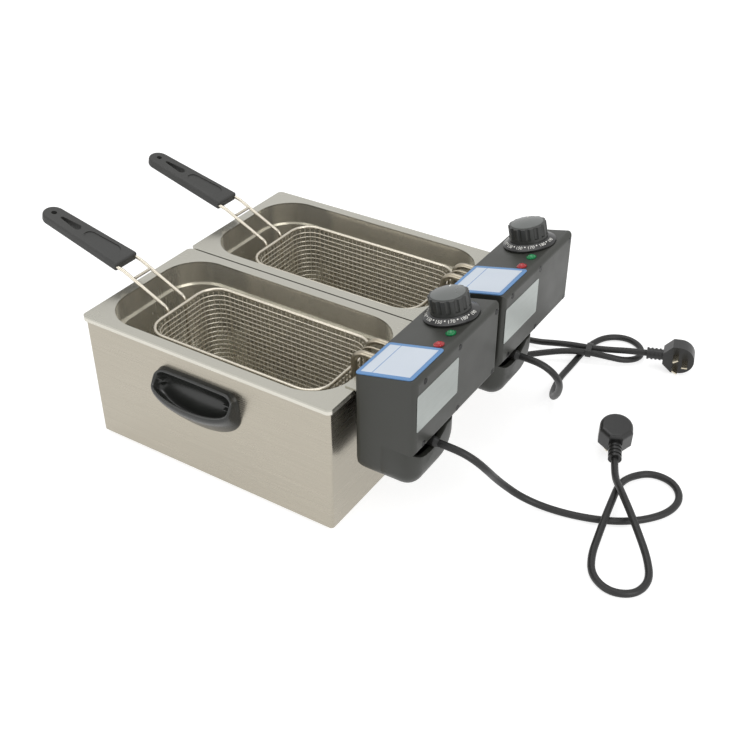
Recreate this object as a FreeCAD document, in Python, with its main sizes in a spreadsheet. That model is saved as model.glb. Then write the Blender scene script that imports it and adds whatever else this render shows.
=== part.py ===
import FreeCAD
import Part
import Sketcher
import math
import os
from types import SimpleNamespace

# Twin-pan countertop fryer, millimetres. +Z is up, the standing surface is z = 0, the user stands at -Y and
# the control heads hang at +Y. X runs across the two pans.
# The origin is below the middle of the fryer's box.

SIZES = [
    # oil pans
    ("pan_length", 325, "flange of one pan, front to back"),
    ("pan_width", 180, "flange of one pan, side to side"),
    ("pan_gap", 2, "gap between the two flanges"),
    ("pan_top", 160.5, "height of the flange above the surface"),
    ("pan_depth", 146, "flange top to pan underside"),
    ("pan_sheet", 1, "pan sheet thickness"),
    ("flange_width", 12, "flat flange round the opening"),
    ("flange_corner", 6, "corner radius of the flange"),
    ("rim_drop", 6, "turned-down rim of the flange"),
    ("pan_corner", 46, "corner radius of the opening"),
    ("shoulder_drop", 30, "depth of the stacking shoulder"),
    ("shoulder_step", 3, "inward step at the shoulder"),
    ("floor_round", 10, "radius between pan wall and floor"),
    # casing
    ("casing_sheet", 1, "casing sheet thickness"),
    ("flange_overhang", 2.5, "flange edge beyond the casing wall"),
    ("casing_corner", 4, "bend radius of the casing corners"),
    ("foot_height", 6, "feet below the base plate"),
    ("foot_across", 22, "foot diameter at the top"),
    ("foot_tread", 17, "foot diameter at the surface"),
    ("foot_inset", 34, "foot centre from the casing wall"),
    ("base_sheet", 1.2, "base plate thickness"),
    ("base_lip", 12, "upturned edge of the base plate"),
    ("vent_length", 60, "length of a base vent"),
    ("vent_width", 5, "width of a base vent"),
    ("vent_pitch", 14, "spacing of the base vents"),
    ("vent_count", 9, "base vents in the row"),
    ("rail_half", 6, "half width of the centre rail"),
    ("rail_depth", 26, "depth of the centre rail"),
    ("rail_sheet", 1.2, "centre rail thickness"),
    ("fit_gap", 0.3, "clearance between fitted pieces"),
    # carry handles
    ("handle_width", 118, "cup handle, front to back"),
    ("handle_height", 62, "cup handle, top to bottom"),
    ("handle_shoulder", 23, "top edge down to the widest point"),
    ("handle_reach", 27, "how far the cup stands out"),
    ("handle_wall", 3, "wall of the cup"),
    ("handle_lip", 29, "height of the front lip"),
    ("handle_root", 5, "depth of the cup's top edge"),
    ("handle_round", 7, "outer edge radius of the lip"),
    ("handle_middle", 103, "height of the cup's middle"),
    ("handle_forward", 10, "cup ahead of the casing's middle"),
    ("handle_screw_spread", 70, "distance between a cup's two screws"),
    ("screw_across", 3, "screw shank diameter"),
    ("screw_head_across", 6.2, "screw head diameter"),
    ("screw_head_height", 1.6, "screw head height"),
    # control heads
    ("head_width", 172, "head, side to side"),
    ("head_depth", 70, "head, inner face to outer face"),
    ("head_shift", 28, "head centre to the left of its pan's centre"),
    ("head_gap", 5.5, "pan flange to the head's inner face"),
    ("head_inner_top", 188, "height of the top panel's inner edge"),
    ("head_rise", 16, "rise of the top panel to its outer edge"),
    ("head_floor", 114, "underside of the shallow half"),
    ("belly_floor", 68, "underside of the deep half"),
    ("belly_width", 89, "deep half, side to side"),
    ("belly_split", 32, "inner face to the cord guard"),
    ("head_wall", 2.5, "moulded wall"),
    ("head_round", 8, "vertical edges of the inner face"),
    ("belly_heel", 28, "radius below the inner face"),
    ("belly_near_round", 18, "radius at the belly's right end"),
    ("belly_far_round", 34, "radius at the belly's left end"),
    ("belly_nose", 14, "radius below the cord guard's face"),
    ("cover_depth", 8, "depth of the back cover"),
    ("cover_round", 6, "edge radius of the back cover"),
    ("slot_middle", 52, "cord slot's middle from the head's middle"),
    ("slot_radius", 45, "radius of the crescent cord slot"),
    ("slot_sag", 13, "depth of the crescent"),
    ("boss_side", 9, "screw boss across"),
    ("boss_length", 14, "screw boss depth"),
    # knob and lamps
    ("knob_offset", 47, "knob axis left of the head's middle"),
    ("knob_setback", 34, "knob axis from the inner face"),
    ("knob_lift", 1, "dial skirt above the panel"),
    ("skirt_across", 60, "dial skirt diameter"),
    ("skirt_top", 45, "dial skirt diameter at its top"),
    ("skirt_height", 6, "dial skirt height"),
    ("knob_across", 43, "knob cap diameter"),
    ("knob_height", 20, "knob cap height"),
    ("knob_crown", 3, "dome of the knob cap"),
    ("flute_count", 14, "finger flutes round the knob"),
    ("flute_radius", 3.2, "radius of a flute"),
    ("spindle_across", 6, "thermostat spindle"),
    ("spindle_below", 15, "spindle below the panel"),
    ("spindle_above", 18, "spindle above the panel"),
    ("thermostat_side", 34, "thermostat body"),
    ("thermostat_height", 20, "thermostat body height"),
    ("lamp_across", 9, "lamp lens diameter"),
    ("lamp_bezel", 11, "lamp bezel diameter"),
    ("lamp_height", 4, "lamp above the panel"),
    ("lamp_below", 14, "lamp below the panel"),
    ("lamp_setback", 16, "lamp from the head's outer face"),
    ("green_offset", -9, "green lamp from the head's middle"),
    ("red_offset", 15, "red lamp from the head's middle"),
    # heating element
    ("tube_across", 7, "element tube diameter"),
    ("leg_spread", 26.5, "spacing of the element's two legs"),
    ("run_spread", 61.5, "spacing of the element's two runs along the pan floor"),
    ("side_bend", 8, "bend radius where a leg turns out to its run"),
    ("leg_inset", 22.5, "legs inside the pan's back edge"),
    ("arch_height", 180, "height of the arches over the flange"),
    ("arch_bend", 14, "bend radius of the legs"),
    ("tube_lift", 10, "tube centre above the pan floor"),
    ("hairpin_reach", 90, "hairpin turn ahead of the pan's middle"),
    ("tube_tail", 16, "tube end inside the head"),
    ("stay_sheet", 2, "element stay thickness"),
    ("stay_height", 18, "element stay height"),
    ("stay_back", 62, "back stay behind the pan's middle"),
    ("stay_front", 52, "front stay ahead of the pan's middle"),
    ("bulb_across", 6, "thermostat bulb diameter"),
    ("bulb_length", 130, "thermostat bulb length"),
    ("capillary_across", 2.4, "capillary tube diameter"),
    ("bracket_width", 96, "hanger bracket"),
    ("bracket_sheet", 1.5, "hanger bracket thickness"),
    ("bracket_reach", 16, "bracket tongue over the flange"),
    ("bracket_drop", 14, "bracket below the flange"),
    ("bracket_rise", 14, "bracket above the flange"),
    # baskets
    ("basket_length", 228, "basket rim, front to back"),
    ("basket_width", 114, "basket rim, side to side"),
    ("basket_corner", 26, "basket corner radius"),
    ("basket_rim_top", 144, "height of the rim wire"),
    ("basket_back", 11, "basket behind the pan's middle"),
    ("rim_wire", 4, "rim wire diameter"),
    ("base_wire", 3, "base wire diameter"),
    ("mesh_sheet", 1.6, "mesh thickness"),
    ("mesh_pitch", 19, "spacing of the mesh windows"),
    ("mesh_bar", 3, "bar between mesh windows"),
    ("handle_wire", 4, "handle wire diameter"),
    ("wire_spread", 29, "distance between the handle wires"),
    ("wire_foot", 50, "height of the handle wires' lower ends"),
    ("wire_bend", 9, "bend radius of the handle wires"),
    ("wire_tail", 18, "handle wire inside the grip"),
    ("crossbar_ahead", 22, "crossbar from the grip's end"),
    ("grip_length", 125, "grip length"),
    ("grip_wide", 35, "grip width at the wires"),
    ("grip_narrow", 27, "grip width at the tip"),
    ("grip_thick", 11, "grip thickness"),
    ("grip_round", 3, "grip edge radius"),
    ("grip_tilt", 14.5, "upward tilt of the grip, degrees"),
    ("grip_start", 13.5, "grip ahead of the pan's front edge"),
    ("grip_height", 179.5, "height of the grip's wire end"),
    ("grip_hole", 6.5, "hanging hole diameter"),
    ("grip_hole_back", 13, "hanging hole from the tip"),
    ("grip_slot_start", 24, "finger slot from the tip"),
    ("grip_slot_length", 30, "finger slot length"),
    ("grip_slot_width", 10, "finger slot at its wide end"),
    ("grip_slot_point", 4, "finger slot at its narrow end"),
    ("grip_dish_start", 13, "shallow dish from the grip's wire end"),
    ("grip_dish_length", 50, "shallow dish length"),
    ("grip_dish_broad", 20, "shallow dish at its broad end"),
    ("grip_dish_slim", 15, "shallow dish at its slim end"),
    ("grip_dish_depth", 1, "shallow dish depth"),
    # mains cords
    ("cord_across", 8, "cord diameter"),
    ("bush_across", 11, "cord bush diameter"),
    ("bush_length", 36, "cord bush length"),
    ("bush_nose", 5, "bush beyond the cord guard"),
    ("bush_height", 108, "height of the cord bush"),
    ("plug_width", 37, "plug body width"),
    ("plug_height", 24, "plug body thickness"),
    ("plug_length", 38, "plug body length"),
    ("plug_face", 10, "cord axis to the plug's pin face"),
    ("plug_round", 5, "edge radius of the plug's back"),
    ("relief_length", 20, "ribbed strain relief length"),
    ("relief_across", 15, "strain relief diameter"),
    ("relief_groove", 1, "depth of the strain relief's grooves"),
    ("relief_ribs", 4, "ribs on the strain relief"),
    ("pin_width", 7, "flat pin width"),
    ("pin_thick", 1.6, "flat pin thickness"),
    ("pin_length", 16, "flat pin length"),
    ("pin_spread", 8, "flat pins from the plug's axis"),
    ("tie_width", 7, "cord tie width"),
    ("tie_sheet", 1, "cord tie thickness"),
]

# Routes of the two cords over the surface, as they lie in use: out of the slot, down, and along the surface.
RIGHT_CORD = [
    (108.5, 272.9, 108), (108.5, 287, 108), (106.5, 301, 105), (100, 312, 95), (88, 318, 78), (70, 319, 56),
    (52, 323, 34), (38, 335, 15), (30, 356, 5.5), (26, 382, 4.2), (19, 409, 4.2), (8, 435, 4.2),
    (-11, 459, 4.2), (-36, 476, 4.2), (-63, 478, 4.2), (-84, 462, 4.2), (-86, 436, 4.2), (-67, 419, 5),
    (-41, 415, 11), (-14, 419, 13), (15, 423, 13), (43, 427, 9), (70, 431, 4.4), (95, 442, 4.2),
    (107, 465, 4.2), (97, 488, 4.2), (72, 494, 4.2), (48, 482, 8), (25, 462, 16), (2, 442, 21.5),
    (-22, 423, 21.5), (-46, 407, 15), (-68, 398, 19.6),
]
LEFT_CORD = [
    (-73.5, 272.9, 108), (-73.5, 287, 108), (-75, 301, 105), (-80, 312, 95), (-90, 316, 78), (-104, 311, 57),
    (-121, 301, 35), (-142, 289, 16), (-168, 279, 5.7), (-199, 274, 4.2), (-231, 275, 4.2),
    (-263, 275, 4.2), (-293, 277, 4.2), (-318, 288, 4.2), (-329, 311, 4.2), (-319, 334, 4.2),
    (-296, 343, 4.2), (-274, 331, 7), (-263, 309, 12), (-257, 284, 13.5), (-245, 259, 13.5),
    (-231, 234, 9), (-217, 211, 4.7), (-204, 188, 4.2), (-201, 162, 4.2), (-212, 138, 4.2),
    (-236, 130, 4.2), (-257, 144, 4.2), (-261, 170, 4.2), (-254, 196, 5), (-252, 220, 9), (-256, 243, 13),
    (-263, 264, 13.5), (-268, 285, 13.5), (-275, 308, 15), (-282, 330, 17.5), (-288, 351.4, 18.7),
]
TIE_PLACE = (-262.5, 284.5, 13.5)
TIE_HEADING = 104
PLUG_ROLL = {"right": 0, "left": -90}

Vector = FreeCAD.Vector
NORMAL = {"XY_Plane": 1, "XZ_Plane": -1, "YZ_Plane": 1}

doc = FreeCAD.newDocument("twin_fryer")
sheet = doc.addObject("Spreadsheet::Sheet", "sizes")
for row, (alias, number, note) in enumerate(SIZES, start=1):
    sheet.set(f"A{row}", note)
    sheet.set(f"B{row}", str(number))
    sheet.setAlias(f"B{row}", alias)
doc.recompute()


# A size keeps its number and the sheet expression that it comes from, so that one sum serves both.
class Size:
    def __init__(self, text, number):
        self.text = text
        self.number = number

    def __add__(self, other):
        return Size(f"({self.text} + {words(other)})", self.number + amount(other))

    def __sub__(self, other):
        return Size(f"({self.text} - {words(other)})", self.number - amount(other))

    def __mul__(self, other):
        return Size(f"({self.text} * {words(other)})", self.number * amount(other))

    def __truediv__(self, other):
        return Size(f"({self.text} / {words(other)})", self.number / amount(other))

    def __neg__(self):
        return Size(f"(-{self.text})", -self.number)


def words(size):
    return size.text if isinstance(size, Size) else repr(float(size))


def amount(size):
    return size.number if isinstance(size, Size) else float(size)


def cosine(angle):
    return Size(f"cos({words(angle)} * 1 deg)", math.cos(math.radians(amount(angle))))


def sine(angle):
    return Size(f"sin({words(angle)} * 1 deg)", math.sin(math.radians(amount(angle))))


dim = SimpleNamespace(**{alias: Size(f"sizes.{alias}", float(sheet.get(alias))) for alias, _, _ in SIZES})
nodes = []


def bind(target, name, size):
    target.setExpression(name, words(size))


# Document objects: bodies, their sketches and features


def new_body(label, place=(0, 0, 0), turn=FreeCAD.Rotation()):
    body = doc.addObject("PartDesign::Body", label)
    body.Label = label
    body.Placement = FreeCAD.Placement(Vector(*[amount(size) for size in place]), turn)
    for axis, size in zip("xyz", place):
        bind(body, f"Placement.Base.{axis}", size)
    return body


def node(part):
    nodes.append(part)
    return part


def group(label, members):
    compound = doc.addObject("Part::Compound", label)
    compound.Label = label
    compound.Links = members
    return node(compound)


def sketch_on(body, role, offset=0):
    plane = next(feature for feature in body.Origin.OriginFeatures if feature.Role == role)
    sketch = body.newObject("Sketcher::SketchObject", "Sketch")
    sketch.AttachmentSupport = [(plane, "")]
    sketch.MapMode = "FlatFace"
    start = -offset if NORMAL[role] < 0 else offset
    sketch.AttachmentOffset = FreeCAD.Placement(Vector(0, 0, amount(start)), FreeCAD.Rotation())
    bind(sketch, "AttachmentOffset.Base.z", start)
    return sketch


def pin_point(sketch, edge, end, point):
    for kind, size in zip(("DistanceX", "DistanceY"), point):
        index = sketch.addConstraint(Sketcher.Constraint(kind, -1, 1, edge, end, amount(size)))
        bind(sketch, f"Constraints[{index}]", size)


def arc_between(start, end, radius):
    # a positive radius bends to the left on the way from start to end
    middle = (start + end) * 0.5
    half = (end - start).Length / 2
    left = Vector(start.y - end.y, end.x - start.x, 0).normalize()
    centre = middle + left * math.copysign(math.sqrt(max(radius * radius - half * half, 0)), radius)
    first, last = (start, end) if radius > 0 else (end, start)
    angles = [math.atan2(p.y - centre.y, p.x - centre.x) for p in (first, last)]
    return Part.ArcOfCircle(Part.Circle(centre, Vector(0, 0, 1), abs(radius)), *angles)


def outline(sketch, points):
    # each point is (x, y), or (x, y, radius) where the edge to the next point is an arc
    base = sketch.GeometryCount
    places = [Vector(amount(p[0]), amount(p[1]), 0) for p in points]
    ends = []
    for index, point in enumerate(points):
        start, stop = places[index], places[(index + 1) % len(points)]
        if len(point) == 3:
            edge = sketch.addGeometry(arc_between(start, stop, amount(point[2])))
            ends.append((edge, 1, 2) if amount(point[2]) > 0 else (edge, 2, 1))
        else:
            edge = sketch.addGeometry(Part.LineSegment(start, stop))
            ends.append((edge, 1, 2))
    for index, point in enumerate(points):
        edge, first, last = ends[index]
        following = ends[(index + 1) % len(points)]
        sketch.addConstraint(Sketcher.Constraint("Coincident", edge, last, following[0], following[1]))
        pin_point(sketch, edge, first, point[:2])
        if len(point) == 3:
            bend = sketch.addConstraint(Sketcher.Constraint("Radius", edge, abs(amount(point[2]))))
            bind(sketch, f"Constraints[{bend}]", point[2] if amount(point[2]) > 0 else -point[2])
    return base


def rectangle(sketch, left, right, bottom, top):
    outline(sketch, [(left, bottom), (right, bottom), (right, top), (left, top)])


def rounded_rectangle(sketch, half_wide, half_long, radius, middle=(0, 0)):
    x0, y0 = middle
    left, right = -half_wide + x0, half_wide + x0
    bottom, top = -half_long + y0, half_long + y0
    outline(sketch, [
        (left + radius, bottom), (right - radius, bottom, radius),
        (right, bottom + radius), (right, top - radius, radius),
        (right - radius, top), (left + radius, top, radius),
        (left, top - radius), (left, bottom + radius, radius)])


def circle(sketch, across, middle=(0, 0)):
    place = Vector(amount(middle[0]), amount(middle[1]), 0)
    edge = sketch.addGeometry(Part.Circle(place, Vector(0, 0, 1), amount(across) / 2))
    width = sketch.addConstraint(Sketcher.Constraint("Diameter", edge, amount(across)))
    bind(sketch, f"Constraints[{width}]", across)
    pin_point(sketch, edge, 3, middle)


def plane_sign(sketch):
    return NORMAL[sketch.AttachmentSupport[0][0].Role]


def pad(body, sketch, length, toward=1):
    feature = body.newObject("PartDesign::Pad", "Pad")
    feature.Profile = sketch
    feature.Reversed = toward * plane_sign(sketch) < 0
    bind(feature, "Length", length)
    doc.recompute()
    return feature


def pocket(body, sketch, length, toward=1):
    feature = body.newObject("PartDesign::Pocket", "Pocket")
    feature.Profile = sketch
    feature.Reversed = toward * plane_sign(sketch) > 0
    bind(feature, "Length", length)
    doc.recompute()
    return feature


def revolve(body, sketch, axis="V_Axis"):
    feature = body.newObject("PartDesign::Revolution", "Revolution")
    feature.Profile = sketch
    feature.ReferenceAxis = (sketch, [axis])
    feature.Angle = 360
    doc.recompute()
    return feature


def pipe(body, spine, profile):
    feature = body.newObject("PartDesign::AdditivePipe", "AdditivePipe")
    feature.Profile = profile
    feature.Spine = spine
    doc.recompute()
    return feature


def grid_pattern(body, feature, sketch, across, along):
    # across and along are (count, pitch) on the sketch's own two axes
    pattern = body.newObject("PartDesign::LinearPattern", "LinearPattern")
    pattern.Originals = [feature]
    pattern.Direction = (sketch, ["H_Axis"])
    pattern.Direction2 = (sketch, ["V_Axis"])
    for suffix, (count, pitch) in (("", across), ("2", along)):
        setattr(pattern, f"Occurrences{suffix}", count)
        bind(pattern, f"Length{suffix}", pitch * max(count - 1, 1))
    body.Tip = pattern
    doc.recompute()
    return pattern


def round_off(body, radius, test):
    base = body.Tip
    names = []
    for index, edge in enumerate(base.Shape.Edges, start=1):
        if test(edge):
            names.append(f"Edge{index}")
    feature = body.newObject("PartDesign::Fillet", "Fillet")
    feature.Base = (base, names)
    bind(feature, "Radius", radius)
    doc.recompute()
    return feature


def cut_corner(body, role, corner, radius, inward, span):
    # takes the sharp corner off along the whole span, leaving a quarter round
    start, length = span
    sketch = sketch_on(body, role, start)
    x0, y0 = corner
    across, up = inward
    turn = radius if across * up < 0 else -radius
    outline(sketch, [(x0, y0), (x0 + radius * across, y0, turn), (x0, y0 + radius * up)])
    return pocket(body, sketch, length)


def at_height(level):
    return lambda edge: all(abs(v.Point.z - amount(level)) < 0.01 for v in edge.Vertexes)


# Bent tubes: straight runs joined by tangent arcs


def bent_path(points, bends):
    edges = []
    start = points[0]
    for before, corner, after, bend in zip(points, points[1:], points[2:], bends):
        arrive = (corner - before).normalize()
        leave = (after - corner).normalize()
        turn = arrive.getAngle(leave)
        back = bend * math.tan(turn / 2)
        enter, exit_point = corner - arrive * back, corner + leave * back
        inward = (leave - arrive).normalize()
        centre = corner + inward * (bend / math.cos(turn / 2))
        edges.append(Part.LineSegment(start, enter).toShape())
        edges.append(Part.Arc(enter, centre - inward * bend, exit_point).toShape())
        start = exit_point
    edges.append(Part.LineSegment(start, points[-1]).toShape())
    return Part.Wire(edges)


def tube_along(path, across):
    first = path.OrderedEdges[0]
    heading = first.tangentAt(first.FirstParameter)
    ring = Part.Wire(Part.makeCircle(across / 2, first.valueAt(first.FirstParameter), heading))
    return path.makePipeShell([ring], True, False)


def tube_feature(label, shapes, place=(0, 0, 0)):
    feature = doc.addObject("Part::Feature", label)
    feature.Label = label
    feature.Shape = shapes[0] if len(shapes) == 1 else Part.makeCompound(shapes)
    feature.Placement = FreeCAD.Placement(Vector(*[amount(size) for size in place]), FreeCAD.Rotation())
    return node(feature)


# Places that several pieces share

pitch = dim.pan_width + dim.pan_gap
half_length = dim.pan_length / 2
half_pan = dim.pan_width / 2
head_in = half_length + dim.head_gap
head_out = head_in + dim.head_depth
cover_seat = head_out - dim.cover_depth
grip_reach = half_length + dim.grip_start + dim.grip_round
grip_reach = grip_reach + (dim.grip_length - dim.grip_round) * cosine(dim.grip_tilt)
grip_reach = grip_reach + (dim.grip_thick / 2 - dim.grip_round) * sine(dim.grip_tilt)
casing_y = (grip_reach - head_out) / 2
pan_floor = dim.pan_top - dim.pan_depth + dim.pan_sheet
casing_top = dim.pan_top - dim.pan_sheet
casing_half_x = pitch / 2 + half_pan - dim.flange_overhang
casing_half_y = half_length - dim.flange_overhang
inside_x = casing_half_x - dim.casing_sheet
inside_y = casing_half_y - dim.casing_sheet
head_left = -dim.head_shift - dim.head_width / 2
head_right = -dim.head_shift + dim.head_width / 2
slope = dim.head_rise / dim.head_depth
tilt = math.degrees(math.atan(amount(slope)))
middle = (0, casing_y, 0)
sides = {"right": pitch / 2, "left": -pitch / 2}


def panel_height(depth):
    return dim.head_inner_top + slope * depth


# Casing


def outer_casing():
    body = node(new_body("outer_casing", middle))
    sketch = sketch_on(body, "XY_Plane", dim.foot_height)
    rounded_rectangle(sketch, casing_half_x, casing_half_y, dim.casing_corner)
    rounded_rectangle(sketch, inside_x, inside_y, dim.casing_corner - dim.casing_sheet)
    pad(body, sketch, casing_top - dim.foot_height)
    # the two inner pan rims hang in a notch at the middle of the front and back walls
    notch = sketch_on(body, "XZ_Plane", -casing_half_y)
    half = dim.pan_gap / 2 + dim.flange_corner
    rectangle(notch, -half, half, dim.pan_top - dim.rim_drop - dim.fit_gap, casing_top)
    pocket(body, notch, casing_half_y * 2)


def base_plate():
    body = node(new_body("base_plate", middle))
    edge_x, edge_y = inside_x - dim.fit_gap, inside_y - dim.fit_gap
    corner = dim.casing_corner - dim.casing_sheet
    sketch = sketch_on(body, "XY_Plane", dim.foot_height)
    rounded_rectangle(sketch, edge_x, edge_y, corner)
    pad(body, sketch, dim.base_lip)
    hollow = sketch_on(body, "XY_Plane", dim.foot_height + dim.base_sheet)
    rounded_rectangle(hollow, edge_x - dim.base_sheet, edge_y - dim.base_sheet, corner - dim.base_sheet)
    pocket(body, hollow, dim.base_lip)
    vent = sketch_on(body, "XY_Plane", dim.foot_height)
    first = dim.vent_pitch * (1 - dim.vent_count.number) / 2
    vent_half = dim.vent_width / 2
    rectangle(vent, first - vent_half, first + vent_half, -dim.vent_length / 2, dim.vent_length / 2)
    cut = pocket(body, vent, dim.base_sheet)
    grid_pattern(body, cut, vent, (int(dim.vent_count.number), dim.vent_pitch), (1, dim.vent_pitch))


def rubber_feet():
    body = node(new_body("rubber_feet", middle))
    reach_x, reach_y = inside_x - dim.foot_inset, inside_y - dim.foot_inset
    for sign_x in (-1, 1):
        for sign_y in (-1, 1):
            tread = sketch_on(body, "XY_Plane")
            circle(tread, dim.foot_tread, (reach_x * sign_x, reach_y * sign_y))
            top = sketch_on(body, "XY_Plane", dim.foot_height)
            circle(top, dim.foot_across, (reach_x * sign_x, reach_y * sign_y))
            foot = body.newObject("PartDesign::AdditiveLoft", "AdditiveLoft")
            foot.Profile = tread
            foot.Sections = [top]
            doc.recompute()


def centre_rail():
    body = node(new_body("centre_rail", middle))
    sketch = sketch_on(body, "XZ_Plane", -inside_y + dim.fit_gap)
    half, thick = dim.rail_half, dim.rail_sheet
    low = casing_top - dim.rail_depth
    outline(sketch, [
        (-half, low), (half, low), (half, casing_top), (half - thick, casing_top),
        (half - thick, low + thick), (-half + thick, low + thick),
        (-half + thick, casing_top), (-half, casing_top)])
    pad(body, sketch, (inside_y - dim.fit_gap) * 2)


def carry_handle(side, sign):
    turn = FreeCAD.Rotation(Vector(0, 0, 1), 0 if sign > 0 else 180)
    place = (casing_half_x * sign, casing_y - dim.handle_forward, dim.handle_middle)
    body = node(new_body(f"{side}_carry_handle", place, turn))
    half, wall = dim.handle_width / 2, dim.handle_wall
    top, low = dim.handle_height / 2, -dim.handle_height / 2
    waist = top - dim.handle_shoulder
    sagitta = waist - low
    bow = (half * half + sagitta * sagitta) / (sagitta * 2)
    shoulder = dim.handle_shoulder
    crown = half - shoulder
    cup = sketch_on(body, "YZ_Plane")
    outline(cup, [(-half, waist, bow), (half, waist, shoulder), (crown, top), (-crown, top, shoulder)])
    pad(body, cup, dim.handle_reach)
    scoop = sketch_on(body, "XZ_Plane", -half)
    beyond = dim.handle_reach * 2
    outline(scoop, [
        (dim.handle_root, top + wall), (dim.handle_root, top),
        (dim.handle_reach, low + dim.handle_lip), (beyond, low + dim.handle_lip), (beyond, top + wall)])
    pocket(body, scoop, half * 2)
    reach = amount(dim.handle_reach)
    round_off(body, dim.handle_round, lambda edge: (
        isinstance(edge.Curve, Part.Circle) and all(abs(v.Point.x - reach) < 0.01 for v in edge.Vertexes)))
    hollow = sketch_on(body, "YZ_Plane", dim.handle_reach - wall)
    inner_half, inner_low = half - wall, low + wall
    inner_sagitta = waist - inner_low
    inner_bow = (inner_half * inner_half + inner_sagitta * inner_sagitta) / (inner_sagitta * 2)
    inner_top = top - wall
    outline(hollow, [
        (-inner_half, waist, inner_bow), (inner_half, waist, shoulder - wall),
        (crown, inner_top), (-crown, inner_top, shoulder - wall)])
    pocket(body, hollow, dim.handle_reach - wall * 2, -1)


def carry_handle_screws():
    body = node(new_body("carry_handle_screws", (0, casing_y - dim.handle_forward, dim.handle_middle)))
    for sign in (-1, 1):
        for offset in (-dim.handle_screw_spread / 2, dim.handle_screw_spread / 2):
            head = sketch_on(body, "YZ_Plane", inside_x * sign)
            circle(head, dim.screw_head_across, (offset, 0))
            pad(body, head, dim.screw_head_height, -sign)


# Oil pans


def tank(side, place):
    body = node(new_body(f"{side}_tank", place))
    sheet_size = dim.pan_sheet
    open_x, open_y = half_pan - dim.flange_width, half_length - dim.flange_width
    low_x, low_y = open_x - dim.shoulder_step, open_y - dim.shoulder_step
    low_corner = dim.pan_corner - dim.shoulder_step
    shoulder = dim.pan_top - dim.shoulder_drop

    rim = sketch_on(body, "XY_Plane", dim.pan_top - dim.rim_drop)
    rounded_rectangle(rim, half_pan, half_length, dim.flange_corner)
    pad(body, rim, dim.rim_drop)
    under = sketch_on(body, "XY_Plane", dim.pan_top - sheet_size)
    rounded_rectangle(under, half_pan - sheet_size, half_length - sheet_size, dim.flange_corner - sheet_size)
    pocket(body, under, dim.rim_drop, -1)
    wall = sketch_on(body, "XY_Plane", shoulder)
    rounded_rectangle(wall, open_x + sheet_size, open_y + sheet_size, dim.pan_corner + sheet_size)
    pad(body, wall, dim.shoulder_drop - sheet_size / 2)
    lower = sketch_on(body, "XY_Plane", dim.pan_top - dim.pan_depth)
    rounded_rectangle(lower, low_x + sheet_size, low_y + sheet_size, low_corner + sheet_size)
    pad(body, lower, dim.pan_depth - dim.shoulder_drop)
    mouth = sketch_on(body, "XY_Plane", dim.pan_top)
    rounded_rectangle(mouth, open_x, open_y, dim.pan_corner)
    pocket(body, mouth, dim.shoulder_drop - sheet_size, -1)
    well = sketch_on(body, "XY_Plane", shoulder + sheet_size)
    rounded_rectangle(well, low_x, low_y, low_corner)
    pocket(body, well, dim.pan_depth - dim.shoulder_drop, -1)
    round_off(body, dim.floor_round, at_height(pan_floor))
    round_off(body, dim.floor_round + sheet_size, at_height(dim.pan_top - dim.pan_depth))


# Heating element


def leg_places():
    return [-dim.leg_spread / 2, dim.leg_spread / 2]


leg_y = half_length - dim.leg_inset
tube_height = pan_floor + dim.tube_lift


def heating_element(side, place):
    bend = amount(dim.arch_bend)
    rise, reach = amount(dim.leg_spread / 2), amount(dim.run_spread / 2)
    turn_y, side_bend = -amount(dim.hairpin_reach), amount(dim.side_bend)
    tail_y, back_y = amount(head_in + dim.tube_tail), amount(leg_y)
    top, low = amount(dim.arch_height), amount(tube_height)
    leg = bent_path([
        Vector(rise, tail_y, top), Vector(rise, back_y, top), Vector(rise, back_y, low),
        Vector(reach, back_y, low), Vector(reach, turn_y, low)], [bend, side_bend, side_bend]).Edges
    back = [edge.mirror(Vector(), Vector(1, 0, 0)) for edge in leg]
    nose = Part.Arc(Vector(reach, turn_y, low), Vector(0, turn_y - reach, low), Vector(-reach, turn_y, low))
    hairpin = tube_along(Part.Wire(leg + [nose.toShape()] + back[::-1]), amount(dim.tube_across))
    tube_feature(f"{side}_heating_element", [hairpin], place)


def element_stays(side, place):
    body = node(new_body(f"{side}_element_stays", place))
    half = dim.run_spread / 2 + dim.tube_across
    for back in (dim.stay_back, -dim.stay_front):
        plate = sketch_on(body, "XZ_Plane", back)
        rectangle(plate, -half, half, pan_floor, pan_floor + dim.stay_height)
        for run_x in (-dim.run_spread / 2, dim.run_spread / 2):
            circle(plate, dim.tube_across + dim.fit_gap * 2, (run_x, tube_height))
        circle(plate, dim.bulb_across + dim.fit_gap * 2, (0, tube_height))
        pad(body, plate, dim.stay_sheet)


def thermostat_bulb(side, place):
    back_y, low = amount(leg_y), amount(tube_height)
    bulb_end = amount(dim.stay_back) + amount(dim.bulb_length) / 10
    start = Vector(0, bulb_end - amount(dim.bulb_length), low)
    bulb = Part.makeCylinder(amount(dim.bulb_across) / 2, amount(dim.bulb_length), start, Vector(0, 1, 0))
    bend = amount(dim.arch_bend)
    path = bent_path([
        Vector(0, bulb_end - 1, low), Vector(0, back_y, low), Vector(0, back_y, amount(dim.arch_height)),
        Vector(0, amount(head_in + dim.tube_tail), amount(dim.arch_height))], [bend, bend])
    capillary = tube_along(path, amount(dim.capillary_across))
    tube_feature(f"{side}_thermostat_bulb", [bulb.fuse(capillary)], place)


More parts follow.
